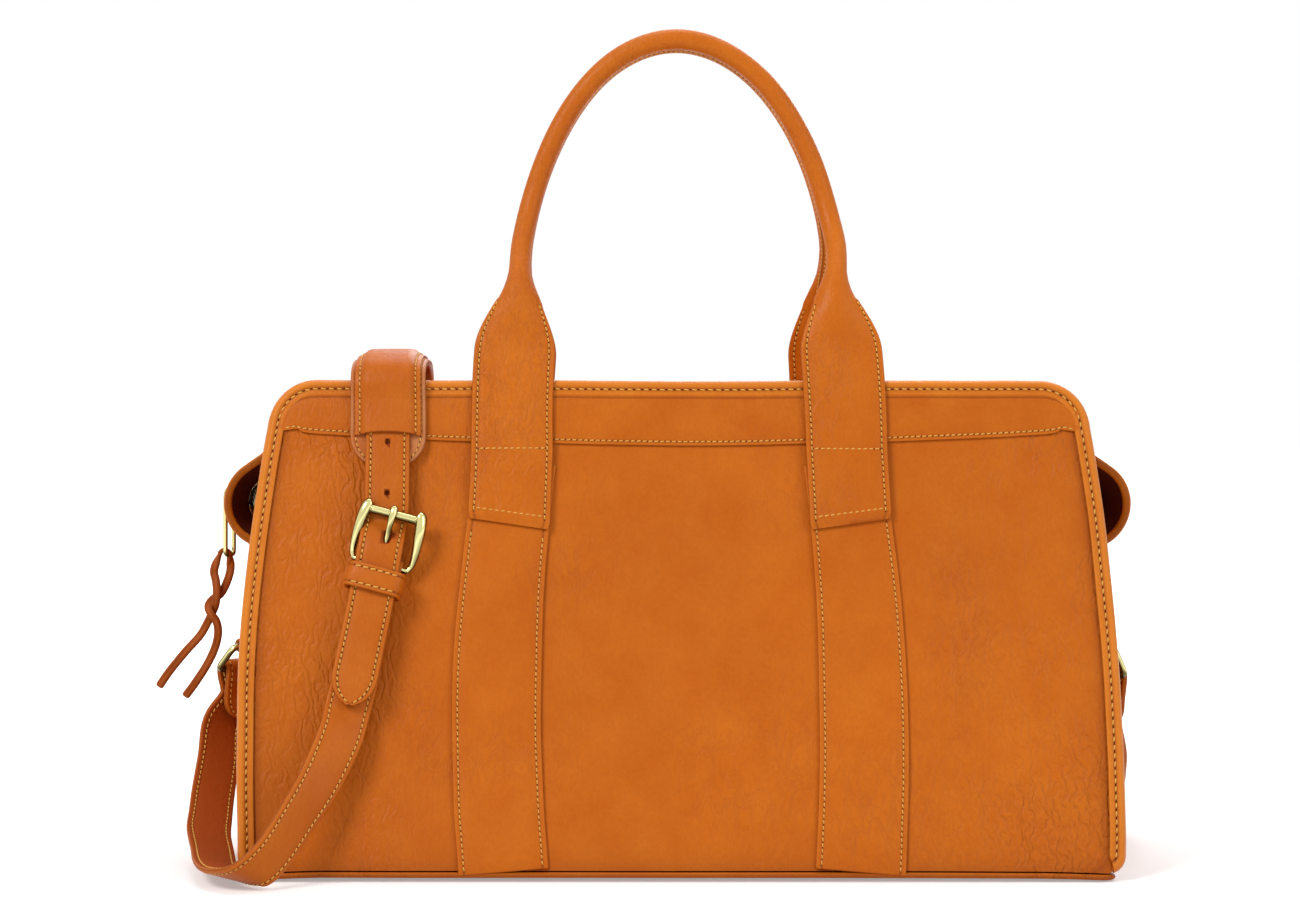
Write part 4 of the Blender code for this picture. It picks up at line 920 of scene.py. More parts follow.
def makeGusset(word, side):
    top = bag["height"] - gussets["topDrop"]
    heights = steps(panelLow - 0.001, top, 52)
    shares = steps(-1, 1, 40)
    loops, marks = [], []
    turn = bag["lowCorner"]
    for z in heights:
        fall = max(0.0, panelLow + turn - z)
        cut = turn - math.sqrt(max(0.0, turn ** 2 - fall ** 2))
        flangeX = sideHalf(z) - 0.0032 - cut
        row = []
        _, reach = gussetPoint(z, 1)
        for face in (1, -1):
            line = [(flangeX, -reach, 0.2)]
            for s in shares:
                x, y = gussetPoint(z, s)
                edge = smoothStep((abs(s) - 0.90) / 0.10)
                line.append((mixed(x, x + 0.0012, edge ** 3) + face * gussets["thick"] / 2, y, 0.5 * edge))
            line.append((flangeX, reach, 0.2))
            if face < 0:
                line.reverse()
                line[0] = (flangeX, reach - gussets["thick"], 0.2)
                line[-1] = (flangeX, -reach + gussets["thick"], 0.2)
            for x, y, g in line:
                row.append(Vector((side * x, y, z)))
                # painted shade: the wall is darkened towards the floor
                dark = 0.4 * math.exp(-max(0.0, z - 0.004) / 0.008)
                marks.append((max(g, dark) * 0.9, 0.0, 1.0 if face < 0 else 0.0))
        loops.append(row)
    piece = addPiece(f"{word}GussetLeather", *loftRows(loops), ["panel"], marks, smooth=60)
    placed(piece, "bag", [f"{word}_gusset"])
    # a turned rim along the wall's top edge
    line = []
    for s in steps(-0.93, 0.93, 44):
        x, y = gussetPoint(top - 0.002, s)
        line.append(Vector((side * x, y, top - 0.002)))
    rim, low, high = strip(f"{word}GussetRim", line, upright, acrossX * side, 0.0052, 0.0046, "binding", 0.0018,
                           0.0004, 0.0002, bothFaces=True)
    placed(rim, "bag")
    lines = [l for l in (low, high) if l[len(l) // 2][0].z < top - 0.002]
    sew(f"{word}GussetRimStitches", lines, "bag", margin=0.004)


base = {"thick": 0.0030, "overhang": 0.0015, "round": 0.010}


def roundedRim(halfA, halfB, radius, count=8, perSide=30):
    points = []
    for turn, (a, b) in enumerate(((1, 1), (-1, 1), (-1, -1), (1, -1))):
        corner = [(a * (halfA - radius) + radius * math.cos(t), b * (halfB - radius) + radius * math.sin(t))
                  for t in steps(turn * math.pi / 2, (turn + 1) * math.pi / 2, count)]
        points += corner
        nextA, nextB = ((-1, 1), (-1, -1), (1, -1), (1, 1))[turn]
        end = (nextA * (halfA - (0 if turn % 2 else radius)), nextB * (halfB - (radius if turn % 2 else 0)))
        start = corner[-1]
        points += [(mixed(start[0], end[0], t), mixed(start[1], end[1], t)) for t in steps(0, 1, perSide)[1:-1]]
    return points


def makeBase():
    halfX = sideHalf(0) - bag["lowCorner"] / 2
    halfY = halfDepth + base["overhang"]
    rows, marks = [], []
    t = base["thick"]
    profile = ((0.020, 0.0, 0.0), (0.0012, 0.0, 0.1), (0.0003, t * 0.22, 0.35), (0.0, t * 0.5, 0.5),
               (0.0003, t * 0.78, 0.35), (0.0012, t, 0.1), (0.0030, t, 0.7), (0.020, t, 0.2))
    for inset, z, groove in profile:
        rim = roundedRim(halfX - inset, halfY - inset, max(0.001, base["round"] - inset))
        rows.append([Vector((x, y, z)) for x, y in rim])
        marks += [(groove, 0.2, 0.0)] * len(rim)
    piece = addPiece("baseLeather", *loftRows(rows), ["panel"], marks, smooth=75)
    placed(piece, "bag", ["base_panel"])


makeBase()
for side, word in ((-1, "left"), (1, "right")):
    makeGusset(word, side)
for side, word in ((-1, "front"), (1, "back")):
    makeHandle(word, side)
print("handles, end walls and base made")


# zip along the top and its two ends

zipper = {"height": 0.2768, "half": 0.205, "show": 0.0070, "halfTape": 0.010, "flapThick": 0.0020,
          "tapeThick": 0.0012, "pitch": 0.0026, "tooth": 0.0013, "turnRoom": 0.0016}


def wallDepth():
    stack = bag["panel"] + 2 * bag["gap"] + gussets["thick"] + binding["thick"]
    return panelDepth(zipper["height"]) - stack / math.cos(lean) - 0.0006


def toothShape():
    # a chamfered tooth that reaches just past the middle: x along the zip, y across, z out
    half, reach, high = zipper["tooth"] / 2, 0.0032, 0.0013
    rows = []
    for z, inset in ((-high, 0.0003), (-high + 0.0003, 0.0), (high - 0.0003, 0.0), (high, 0.0003)):
        rows.append([(-half + inset, -0.0006 + inset, z), (half - inset, -0.0006 + inset, z),
                     (half - inset * 0.6, reach - inset, z), (-half + inset * 0.6, reach - inset, z)])
    return loftRows(rows)


def makeTeeth(name, line, side, body):
    # line is (point, out); the two sides' teeth stand half a pitch apart
    shape, shapeFaces = toothShape()
    start = 0.002 if body != "bag" else 0.001
    spots = evenly(line, zipper["pitch"], start if side < 0 else start + zipper["pitch"] / 2)
    parts = []
    for (spot, out), (after, _) in zip(spots, spots[1:]):
        along = (after - spot).normalized()
        parts.append(([spot + along * x + acrossY * side * y + out * z for x, y, z in shape], shapeFaces))
    piece = addPiece(name, *joined(parts), ["agedBrass"], smooth=30)
    placed(piece, body)


def makeZipFlap(word, side):
    body = f"{word}_flap"
    edge = wallDepth()
    # a little room behind the flap's outer edge lets it turn clear of the binding
    outer = edge - zipper["turnRoom"]
    middle = side * (outer + zipper["show"]) / 2
    xs = steps(-zipper["half"], zipper["half"], 120)
    centres = [Vector((x, middle, zipper["height"])) for x in xs]
    flap, left, right = strip(f"{word}ZipFlap", centres, acrossY, upright, (outer - zipper["show"]) / 2,
                              zipper["flapThick"], "trim", 0.0022, 0.0003, 0.0003, innerFleshAndShade=True, middle=8)
    placed(flap, body, [f"{word}_zip_flap"])
    near = left if abs(left[0][0].y) < abs(right[0][0].y) else right
    sew(f"{word}ZipFlapStitches", [near], body, margin=0.003)
    low = zipper["height"] - zipper["flapThick"] / 2 - bag["gap"] - zipper["tapeThick"] / 2
    half = (zipper["halfTape"] - bag["gap"]) / 2
    centres = [Vector((x, side * (half + bag["gap"]), low)) for x in xs]
    tape, _, _ = strip(f"{word}ZipTape", centres, acrossY, upright, half, zipper["tapeThick"], "tape", 0.002,
                       0.0, 0.0)
    placed(tape, body, [f"{word}_zip_tape"])
    makeTeeth(f"{word}ZipTeeth", [(Vector((x, 0, low + 0.0002)), upright) for x in xs], side, body)


ears = {"centreX": 0.2400, "centreZ": 0.2095, "radius": 0.0252, "thick": 0.0028, "half": 0.036,
        "arcTop": math.radians(58), "arcLow": math.radians(-62), "footZ": 0.168, "bead": 0.0021,
        "fold": 0.0094}


def folded(p, depth):
    # a zip end's point drawn in towards the ear's centre, deepest beside the zip
    reach = Vector((abs(p.x) - ears["centreX"], p.z - ears["centreZ"]))
    arcTop, arcLow = (ears["centreZ"] + ears["radius"] * math.sin(ears[end]) for end in ("arcTop", "arcLow"))
    above = (zipper["height"] - p.z) / (zipper["height"] - arcTop)
    below = (p.z - ears["footZ"]) / (arcLow - ears["footZ"])
    share = (ears["half"] - max(abs(depth), zipper["show"])) / (ears["half"] - zipper["show"])
    shift = reach.normalized() * ears["fold"] * share * smoothStep(min(above, below))
    return Vector((p.x - math.copysign(shift.x, p.x), p.y, p.z - shift.y))


def foldedHere(p):
    return folded(p, p.y)


def foldedFull(p):
    return folded(p, 0)


def earLine(offset=0.0):
    centre, r = Vector((ears["centreX"], ears["centreZ"])), ears["radius"]
    arc = [centre + Vector((r * math.cos(a), r * math.sin(a))) for a in steps(ears["arcTop"], ears["arcLow"], 30)]
    start = Vector((zipper["half"] + bag["gap"], zipper["height"]))
    gap = arc[0] - start
    shares = ((0, 0), (0.18, 0.06), (0.42, 0.36), (0.70, 0.76))
    lead = [start + Vector((gap.x * sx, gap.y * sz)) for sx, sz in shares]
    footX = sideHalf(ears["footZ"]) - 0.010 + ears["thick"] / 2 + bag["gap"]
    foot = [Vector((footX + ears["thick"], ears["footZ"] + r / 3)), Vector((footX, ears["footZ"]))]
    line = smoothPath([*lead, arc[0]], 7)[:-1] + arc + smoothPath([arc[-1], *foot], 5)[1:]
    outs = [Vector((-t.y, t.x)) for t in tangentsOf(line)]
    return [p - out * offset for p, out in zip(line, outs)], outs


def makeEar(word, side):
    line, flatOuts = earLine()
    outs = [Vector((side * o.x, 0, o.y)) for o in flatOuts]
    for depth, name in ((-1, "front"), (1, "back")):
        low, high = zipper["show"], ears["half"]
        centres = [Vector((side * p.x, depth * (low + high) / 2, p.y)) for p in line]
        # the inner face takes the ear finish's near-black inner colour: painted shade
        leather, left, right = strip(f"{word}Ear{name.title()}", centres, acrossY, outs, (high - low) / 2,
                                     ears["thick"], "ear", 0.0024, 0.0004, 0.0003, bothFaces=True,
                                     innerFleshAndShade=True, middle=8, warp=foldedHere)
        placed(leather, "bag", [f"{word}_ear_{name}"])
        sew(f"{word}Ear{name.title()}Stitches", [left, right], "bag", margin=0.003)
        bead = [Vector((side * p.x, depth * (high - ears["bead"] * 0.9), p.y)) for p in line]
        edge, _, _ = strip(f"{word}EarBead{name.title()}", bead, acrossY, outs, ears["bead"], 0.0042, "binding",
                           0.0018, 0.0, 0.0, warp=foldedHere)
        placed(edge, "bag")
    inner, _ = earLine(ears["thick"] / 2 + bag["gap"] + zipper["tapeThick"] / 2)
    keep = slice(2, len(inner) - 4)
    centres = [Vector((side * p.x, 0, p.y)) for p in inner][keep]
    outsKept = outs[keep]
    tape, _, _ = strip(f"{word}EarTape", centres, acrossY, outsKept, zipper["halfTape"], zipper["tapeThick"],
                       "tape", 0.002, 0.0, 0.0, warp=foldedFull)
    placed(tape, "bag", [f"{word}_ear_tape"])
    for depth, name in ((-1, "Front"), (1, "Back")):
        makeTeeth(f"{word}EarTeeth{name}", [(foldedFull(c), o) for c, o in zip(centres, outsKept)], depth, "bag")


pull = {"length": 0.0400, "width": 0.0125, "wire": 0.0014, "corner": 0.0026, "turn": math.radians(24)}
thong = {"width": 0.0050, "thick": 0.0026}
sliderShape = {"angle": math.radians(12), "length": 0.0130, "width": 0.0095, "thick": 0.0016, "bail": 0.0034,
               "bailWire": 0.0009}


def tube(path, radii, sides=14, ring=False, upHint=None):
    hint = upHint or acrossY
    rows = []
    for p, t, r in zip(path, tangentsOf(path, ring), radii):
        out = t.cross(hint)
        if out.length < 1e-5:
            out = t.cross(upright)
        out.normalize()
        up = out.cross(t).normalized()
        rows.append([p + out * (r * math.cos(a)) + up * (r * math.sin(a)) for a in circle(sides)])
    return loftRows(rows, ring=ring)


def domedRod(start, end, radius, sides=18, dome=0.5):
    path, radii = [], []
    along = (end - start).normalized()
    for s in steps(0, 1, 6):
        path.append(start + along * radius * dome * s)
        radii.append(radius * math.sqrt(max(0.03, 1 - (1 - s) ** 2)))
    path.append(end - along * radius * dome)
    radii.append(radius)
    for s in steps(0, 1, 6)[1:]:
        path.append(end - along * radius * dome * (1 - s))
        radii.append(radius * math.sqrt(max(0.03, 1 - s ** 2)))
    return tube(path, radii, sides)


def makeSlider():
    centre = Vector((-ears["centreX"], 0, ears["centreZ"]))
    a = sliderShape["angle"]
    out = Vector((-math.cos(a), 0, math.sin(a)))
    along = Vector((math.sin(a), 0, math.cos(a)))
    tapeOut = ears["radius"] - ears["thick"] / 2 - bag["gap"] - ears["fold"]
    t = sliderShape["thick"]
    for low, name, material, node in ((tapeOut + 2 * bag["gap"], "sliderTop", "brass", "zip_slider"),
                                      (tapeOut - zipper["tapeThick"] - bag["gap"] - t, "sliderUnderside", "agedBrass",
                                       "slider_underside")):
        rows = []
        for rise, inset in ((0.0, 0.0006), (t * 0.25, 0.0), (t * 0.75, 0.0), (t, 0.0005), (t * 1.05, 0.0016)):
            rim = []
            for turn in circle(36):
                x = math.copysign(abs(math.cos(turn)) ** 0.55, math.cos(turn))
                x *= sliderShape["length"] / 2 - inset
                wide = sliderShape["width"] / 2 * (1.0 - 0.44 * x / sliderShape["length"])
                y = math.copysign(abs(math.sin(turn)) ** 0.6, math.sin(turn)) * (wide - inset)
                rim.append(centre + out * (low + rise) + along * x + acrossY * y)
            rows.append(rim)
        parts = [loftRows(rows)]
        if node == "zip_slider":
            top = low + t
            reach = sliderShape["bailWire"] + 2 * pull["wire"] + 4 * bag["gap"]
            path = [centre + out * top - along * sliderShape["bail"]]
            for b in steps(-math.pi / 2, math.pi / 2, 20):
                path.append(centre + out * (top + ears["fold"] + reach * math.cos(b))
                            + along * (sliderShape["bail"] * math.sin(b)))
            path.append(centre + out * top + along * sliderShape["bail"])
            parts.append(tube(path, [sliderShape["bailWire"]] * len(path), 10, upHint=acrossY))
        else:
            # raised ribs on the underside's inner face
            for y in (-0.0022, 0.0022):
                middle = centre + out * (low - 0.0001) + acrossY * y
                parts.append(domedRod(middle - along * 0.004, middle + along * 0.004, 0.0005, 8))
        piece = addPiece(name, *joined(parts), [material], swayed=False, smooth=50)
        placed(piece, "slider", [node])


def fromPhoto(column, row, y=0.0):
    # a place on the middle plane, from its column and row in the picture's frame
    scale = 1.8 / 2997.0
    return Vector(((column - 570) * scale - 0.063, y, 0.27 - (row - 402) * scale))


def makePull():
    eye = Vector((-0.267388, 0, 0.215322))
    half = pull["length"] / 2 - pull["wire"]
    middle = eye - Vector((0, 0, half))
    side = Vector((math.sin(pull["turn"]), math.cos(pull["turn"]), 0))
    rim = roundedRim(pull["width"] / 2 - pull["wire"], half, pull["corner"], 6, 14)
    path = [middle + side * a + Vector((0, 0, b)) for a, b in rim]
    face = side.cross(upright)
    verts, faces = tube(path, [pull["wire"]] * len(path), 14, ring=True, upHint=face)
    piece = addPiece("pullBar", verts, faces, ["brass"], swayed=False, smooth=60)
    placed(piece, "pull", ["zip_pull"])
    bar = middle.z - half
    bend = pull["wire"] + thong["thick"] / 2 + 0.0002
    x = eye.x
    # two strands: the left one crosses in front, the right one wraps it, and both hang to the left
    leftWay = ((159, 687, -0.0010), (170, 671, -0.0012), (186, 651.5, -0.0014), (200, 636, -0.0014),
               (207, 624, -0.0008), (212, 613, 0.0010), (215.5, 605, -0.0012), (217.5, 593, -0.0034),
               (216.5, 581.5, -0.0026), (214.3, 570, -0.0010))
    rightWay = ((230.5, 569, 0.0), (226.5, 583, 0.0004), (220.5, 594, 0.0014), (212, 600, 0.0018),
                (208.5, 606.5, -0.0006), (211.5, 613.5, -0.0040), (216.8, 621, -0.0030), (218.3, 633, -0.0010),
                (215, 648, -0.0006), (207, 665, -0.0006), (196, 682, -0.0004), (185, 697, 0.0))
    first = [fromPhoto(*spot) for spot in leftWay]
    turn = [Vector((x - 0.0030 - bend * math.cos(a), -0.0004, bar + bend * math.sin(a)))
            for a in steps(0.15, math.pi - 0.15, 8)]
    second = [fromPhoto(*spot) for spot in rightWay]
    path = smoothPath(first + turn + second, 7)
    acrosses = []
    for p, t in zip(path, tangentsOf(path)):
        near = smoothStep(1 - (bar + bend - p.z) / 0.014)
        flat = t.cross(acrossY).normalized()
        if acrosses and flat.dot(acrosses[-1]) < 0:
            flat = -flat
        twist = 0.25 * math.sin(p.z * 210)
        acrosses.append((flat * (1 - near) + Vector((0, near + twist * (1 - near), 0))).normalized())
    outs = [t.cross(a) for t, a in zip(tangentsOf(path), acrosses)]
    piece, _, _ = strip("pullThong", path, acrosses, outs, thong["width"] / 2, thong["thick"], "thong", 0.0010,
                        0.0001, 0.0, middle=2, swayed=False)
    placed(piece, "pull", ["pull_thong", "thong_knot"])


for side, word in ((-1, "front"), (1, "back")):
    makeZipFlap(word, side)
for side, word in ((-1, "left"), (1, "right")):
    makeEar(word, side)
makeSlider()
makePull()
print("zip, its ends and the pull made")


# rings and shoulder strap

strap = {"width": 0.0256, "thick": 0.0030, "x": -0.1690, "drift": 0.0170, "driftZ": 0.205,
         "driftLength": 0.107, "driftPower": 1.15, "inset": 0.0031, "endTab": 0.031, "rivetDrop": 0.020,
         "tip": 0.0190}
ring = {"wire": 0.0020, "width": 0.0292, "height": 0.0160, "corner": 0.0045, "z": 0.124, "standOff": 0.0133,
        "turn": math.radians(-39), "tilt": math.radians(46), "backTurn": math.radians(28),
        "backTilt": math.radians(62)}
buckle = {"keeperZ": 0.1655, "keeperLength": 0.0142, "keeperThick": 0.0018, "keeperLevel": 0.0012,
          "heelRise": 0.0100, "turn": math.radians(6.5), "reach": 0.0300, "half": 0.0175, "heel": 0.0015,
          "bar": 0.0023, "prong": 0.0015, "eyeRoom": 0.0009, "returnLength": 0.0240, "tailDrop": 0.0710}
pad = {"width": 0.0420, "thick": 0.0040, "endZ": 0.2300, "loopZ": 0.2480, "loopThick": 0.0022, "crown": 0.0060,
       "crestHalf": 0.0300, "crestDrop": 0.0010, "turnZ": 0.270}
gap = bag["gap"]
strapHalf = strap["thick"] / 2
padLevel = gap + yoke["thick"] + 2 * gap
strapLevel = padLevel + pad["thick"] + gap + strapHalf
loopLevel = strapLevel + strapHalf + gap
returnLevel = buckle["keeperLevel"] + buckle["keeperThick"] + gap + strapHalf
heelLevel = returnLevel + strapHalf + gap + buckle["heel"]
lowerLevel = heelLevel + buckle["heel"] + gap + strapHalf
tailLevel = lowerLevel + strap["thick"] + gap
topBarLevel = strapLevel + strapHalf + gap + buckle["bar"]

# places along the strap, as shares of the half width, half depth and height, each with its way across
leftRun = (
    ((-1.092, 0.030, 0.268), (0.76, 0.64, -0.12)), ((-1.094, -0.070, 0.198), (0.88, 0.45, -0.16)),
    ((-1.100, -0.235, 0.122), (0.94, 0.30, -0.14)), ((-1.094, -0.420, 0.074), (0.95, 0.27, -0.12)),
    ((-1.073, -0.650, 0.041), (0.92, 0.34, -0.16)), ((-1.050, -0.935, 0.027), (0.87, 0.42, -0.20)),
    ((-1.018, -1.160, 0.023), (0.79, 0.48, -0.32)), ((-0.962, -1.285, 0.030), (0.70, 0.52, -0.46)),
    ((-0.910, -1.262, 0.062), (0.62, 0.50, -0.60)), ((-0.849, -1.160, 0.143), (0.66, 0.46, -0.60)),
    ((-0.804, -1.060, 0.211), (0.74, 0.34, -0.56)), ((-0.766, -0.980, 0.287), (0.84, 0.16, -0.48)),
    ((-0.752, -0.910, 0.338), (0.92, 0.04, -0.38)),
)
rightRun = (
    ((-1.044, -0.085, 0.272), (0.52, -0.85, 0.00)), ((-1.060, -0.250, 0.200), (0.74, -0.67, 0.00)),
    ((-1.068, -0.500, 0.132), (0.88, -0.46, 0.00)), ((-1.066, -0.800, 0.070), (0.94, -0.34, 0.02)),
    ((-1.040, -1.090, 0.030), (0.95, -0.28, -0.12)), ((-0.980, -1.260, 0.036), (0.93, -0.16, -0.34)),
)
backShares = ((0.900, 0.088, 4.00), (0.740, 0.145, 3.10), (0.480, 0.230, 2.20), (0.180, 0.335, 1.50),
              (-0.120, 0.450, 1.15), (-0.370, 0.565, 1.00), (-0.560, 0.680, 1.00), (-0.655, 0.770, 1.00))


def turned(v, back):
    return Vector((-v[0], -v[1], v[2])) if back else Vector(v)


def ringFrame(back):
    turn = ring["backTurn"] if back else ring["turn"]
    tilt = ring["backTilt"] if back else ring["tilt"]
    bar = turned((math.sin(turn), -math.cos(turn), 0), back)
    out = turned((-math.cos(turn), -math.sin(turn), 0), back)
    drop = out * math.cos(tilt) - Vector((0, 0, math.sin(tilt)))
    upper = turned((-(sideHalf(ring["z"]) - 0.010) - ring["standOff"], 0, ring["z"]), back)
    # the strap's end tab lies outside on the right ring and towards the bag on the left one
    return {"bar": bar, "out": out, "drop": drop, "upper": upper, "face": out if back else -out,
            "across": bar if back else -bar,
            "lower": upper + drop * (ring["height"] + 2 * ring["wire"])}


def makeRing(word, at):
    middle = (at["upper"] + at["lower"]) / 2
    rim = roundedRim(ring["width"] / 2 + ring["wire"], ring["height"] / 2 + ring["wire"], ring["corner"], 7, 10)
    path = [middle + at["bar"] * a + at["drop"] * b for a, b in rim]
    verts, faces = tube(path, [ring["wire"]] * len(path), 18, ring=True, upHint=at["bar"].cross(at["drop"]))
    piece = addPiece(f"{word}Ring", verts, faces, ["brass"], swayed=False, smooth=60)
    placed(piece, "bag", [f"{word}_ring"])


def makeRingTab(word, at, back):
    thick = 0.0020
    bend = ring["wire"] + gap + thick / 2
    deep = turned((0, -1, 0), back)
    up = Vector((0, 0, 1))
    sewn = []
    for share in (1, 0.45, -0.45, -1):
        z = ring["z"] + share * 0.034
        sewn.append(turned((-(sideHalf(z) - 0.010 + gap + thick / 2), 0, z), back))
    top = [(sewn[0], deep), (mixed(sewn[0], sewn[1], 0.5), deep), (sewn[1], deep)]
    points = list(top)
    for away in (2 * bend, bend):
        points.append((at["upper"] + bend * up - away * at["out"], at["bar"]))
    for a in steps(math.pi / 2, -math.pi / 2, 8):
        points.append((at["upper"] + bend * (math.cos(a) * at["out"] + math.sin(a) * up), at["bar"]))
    for away in (bend, 2 * bend):
        points.append((at["upper"] - bend * up - away * at["out"], at["bar"]))
    points += [(sewn[2], deep), (mixed(sewn[2], sewn[3], 0.5), deep), (sewn[3], deep)]
    path = smoothPath([p for p, _ in points], 4)
    acrosses = smoothPath([a for _, a in points], 4)
    outs = [t.cross(a) for t, a in zip(tangentsOf(path), acrosses)]
    if outs[0].dot(turned((-1, 0, 0), back)) < 0:
        outs = [-o for o in outs]
    piece, left, right = strip(f"{word}RingTab", path, acrosses, outs, 0.012, thick, "trim", 0.0026, 0.0002, 0.0003)
    placed(piece, "bag", [f"{word}_ring_tab"])
    lines = []
    for line in (left, right):
        lines += [line[:9], line[-9:]]
    for k in (1, 8, -9, -2):
        lines.append([(mixed(left[k][0], right[k][0], s), left[k][1]) for s in steps(0.12, 0.88, 6)])
    sew(f"{word}RingTabStitches", lines, "bag", margin=0.0008)


def endStations(at):
    # the strap's riveted end tab, the turn round the ring's lower bar and the start of the way down
    bend = ring["wire"] + gap + strapHalf
    close = strapHalf + gap
    up = Vector((0, 0, 1))
    low = strap["endTab"]
    before, halves = [], []
    for s in steps(0, 1, 22):
        drop = mixed(low, ring["wire"] * 2, s)
        out = close + (bend - close) * smoothStep(1 - drop / strap["rivetDrop"])
        before.append(at["lower"] + at["face"] * out - up * drop)
        tip = min(1.0, (low - drop) / 0.0125)
        halves.append(strap["width"] / 2 * math.sqrt(max(0.02, 1 - (1 - tip) ** 2.1)))
    for a in steps(0, math.pi, 14)[:-1]:
        before.append(at["lower"] + bend * (math.cos(a) * at["face"] + math.sin(a) * up))
        halves.append(strap["width"] / 2)
    after = [at["lower"] - bend * at["face"]]
    for drop in (ring["wire"] * 2, low * 0.55):
        out = close + (bend - close) * smoothStep(1 - drop / strap["rivetDrop"])
        after.append(at["lower"] - at["face"] * out - up * drop)
    return before, halves, after


def makeRivet(word, at):
    centre = at["lower"] - upright * strap["rivetDrop"]
    face = centre + at["face"] * (strapHalf + gap + strapHalf)
    profile = ((0.0046, -0.0002), (0.0047, 0.0005), (0.0044, 0.0010), (0.0034, 0.0013), (0.0014, 0.0014))
    side = at["bar"]
    rows = [[face + at["face"] * z + side * (r * 0.78 * math.cos(a)) + upright * (r * 0.78 * math.sin(a))
             for a in circle(28)] for r, z in profile]
    head = addPiece(f"{word}StrapRivet", *loftRows(rows), ["brass"], swayed=False, smooth=60)
    placed(head, "bag", [f"{word}_strap_rivet"])
    middle = face + at["face"] * 0.0013
    reach = (side * 0.8 + upright * 0.6).normalized() * 0.0021
    rod = domedRod(middle - reach, middle + reach, 0.00032, 8)
    groove = addPiece(f"{word}RivetSlot", *rod, ["agedBrass"], swayed=False)
    placed(groove, "bag")


def strapLineX(z):
    fall = max(0.0, (strap["driftZ"] - z) / strap["driftLength"])
    return strap["x"] - strap["drift"] * fall ** strap["driftPower"]


def buckleFrame():
    z, step = buckle["keeperZ"], buckle["keeperLength"]
    origin = onPanel(strapLineX(z), z)
    up = (onPanel(strapLineX(z + step), z + step) - onPanel(strapLineX(z - step), z - step)).normalized()
    out = Vector((0, -math.cos(lean), math.sin(lean)))
    # buckle and keeper sit a little turned on the strap
    up = (up * math.cos(buckle["turn"]) + up.cross(out) * math.sin(buckle["turn"])).normalized()
    across = up.cross(out)
    return {"origin": origin, "up": up, "out": out, "across": across}


seat = buckleFrame()


def atBuckle(across, up, out):
    return seat["origin"] + seat["across"] * across + seat["up"] * up + seat["out"] * out


def runStations(rows, back):
    centres, acrosses = [], []
    for (sx, sy, sz), across in rows:
        centres.append(turned((sx * halfWidth, sy * halfDepth, sz * bag["height"]), back))
        acrosses.append(turned(across, back).normalized())
    return centres, acrosses


def offsetLine(line, distance):
    line = [Vector(p) for p in line]
    moved = []
    for i, p in enumerate(line):
        normals = []
        for a, b in ((i - 1, i), (i, i + 1)):
            if a >= 0 and b < len(line):
                t = (line[b] - line[a]).normalized()
                normals.append(Vector((-t.y, t.x)))
        mean = sum(normals, Vector((0, 0))).normalized()
        moved.append(p + mean * distance / mean.dot(normals[0]))
    return moved


def crestLine(low):
    rise = [(-panelDepth(z), z) for z in steps(low, pad["turnZ"], 4)]
    top = bag["height"] + pad["crown"]
    turn = ((-bag["mouth"] / 2, bag["height"]), (-pad["crestHalf"], top - pad["crestDrop"]), (0, top))
    half = smoothPath([*rise[-2:], *turn], 3)[3:]
    front = [Vector(p) for p in rise[:-1]] + half
    return front + [Vector((-p.x, p.y)) for p in reversed(front[:-1])]


def overPoints(low, level, x, fine=4):
    line = smoothPath([(y, z, 0) for y, z in offsetLine(crestLine(low), level)], fine)
    return [Vector((x, p.x, p.y)) for p in line]


def bothFaceLines(left, right, thick):
    lines = []
    for line in (left, right):
        lines.append(line)
        lines.append([(p - o * (thick + 0.0001), -o) for p, o in line])
    return lines


def punch(piece, spots):
    # real holes through the strap: each spot is (point, out, half length, half width, along)
    holes = []
    for point, out, halfLong, halfWide, along in spots:
        wide = out.cross(along).normalized()
        rim = [along * (halfLong * math.cos(a)) + wide * (halfWide * math.sin(a)) for a in circle(20)]
        holes.append(loftRows([[point + out * lift + spot for spot in rim] for lift in (-0.006, 0.006)]))
    verts, faces = joined(holes)
    # the cutter's near-black hole finish goes onto the holes' walls: painted shade inside them
    cutter = addPiece("strapPunch", verts, faces, ["hole"], [(1.0, 0.0, 0.0)] * len(verts))
    change = piece.modifiers.new("punch", "BOOLEAN")
    change.operation = "DIFFERENCE"
    change.solver = "EXACT"
    change.object = cutter
    change.material_mode = "TRANSFER"
    bpy.context.view_layer.update()
    cut = bpy.data.meshes.new_from_object(piece.evaluated_get(bpy.context.evaluated_depsgraph_get()))
    piece.modifiers.clear()
    piece.data = cut
    bpy.data.objects.remove(cutter)


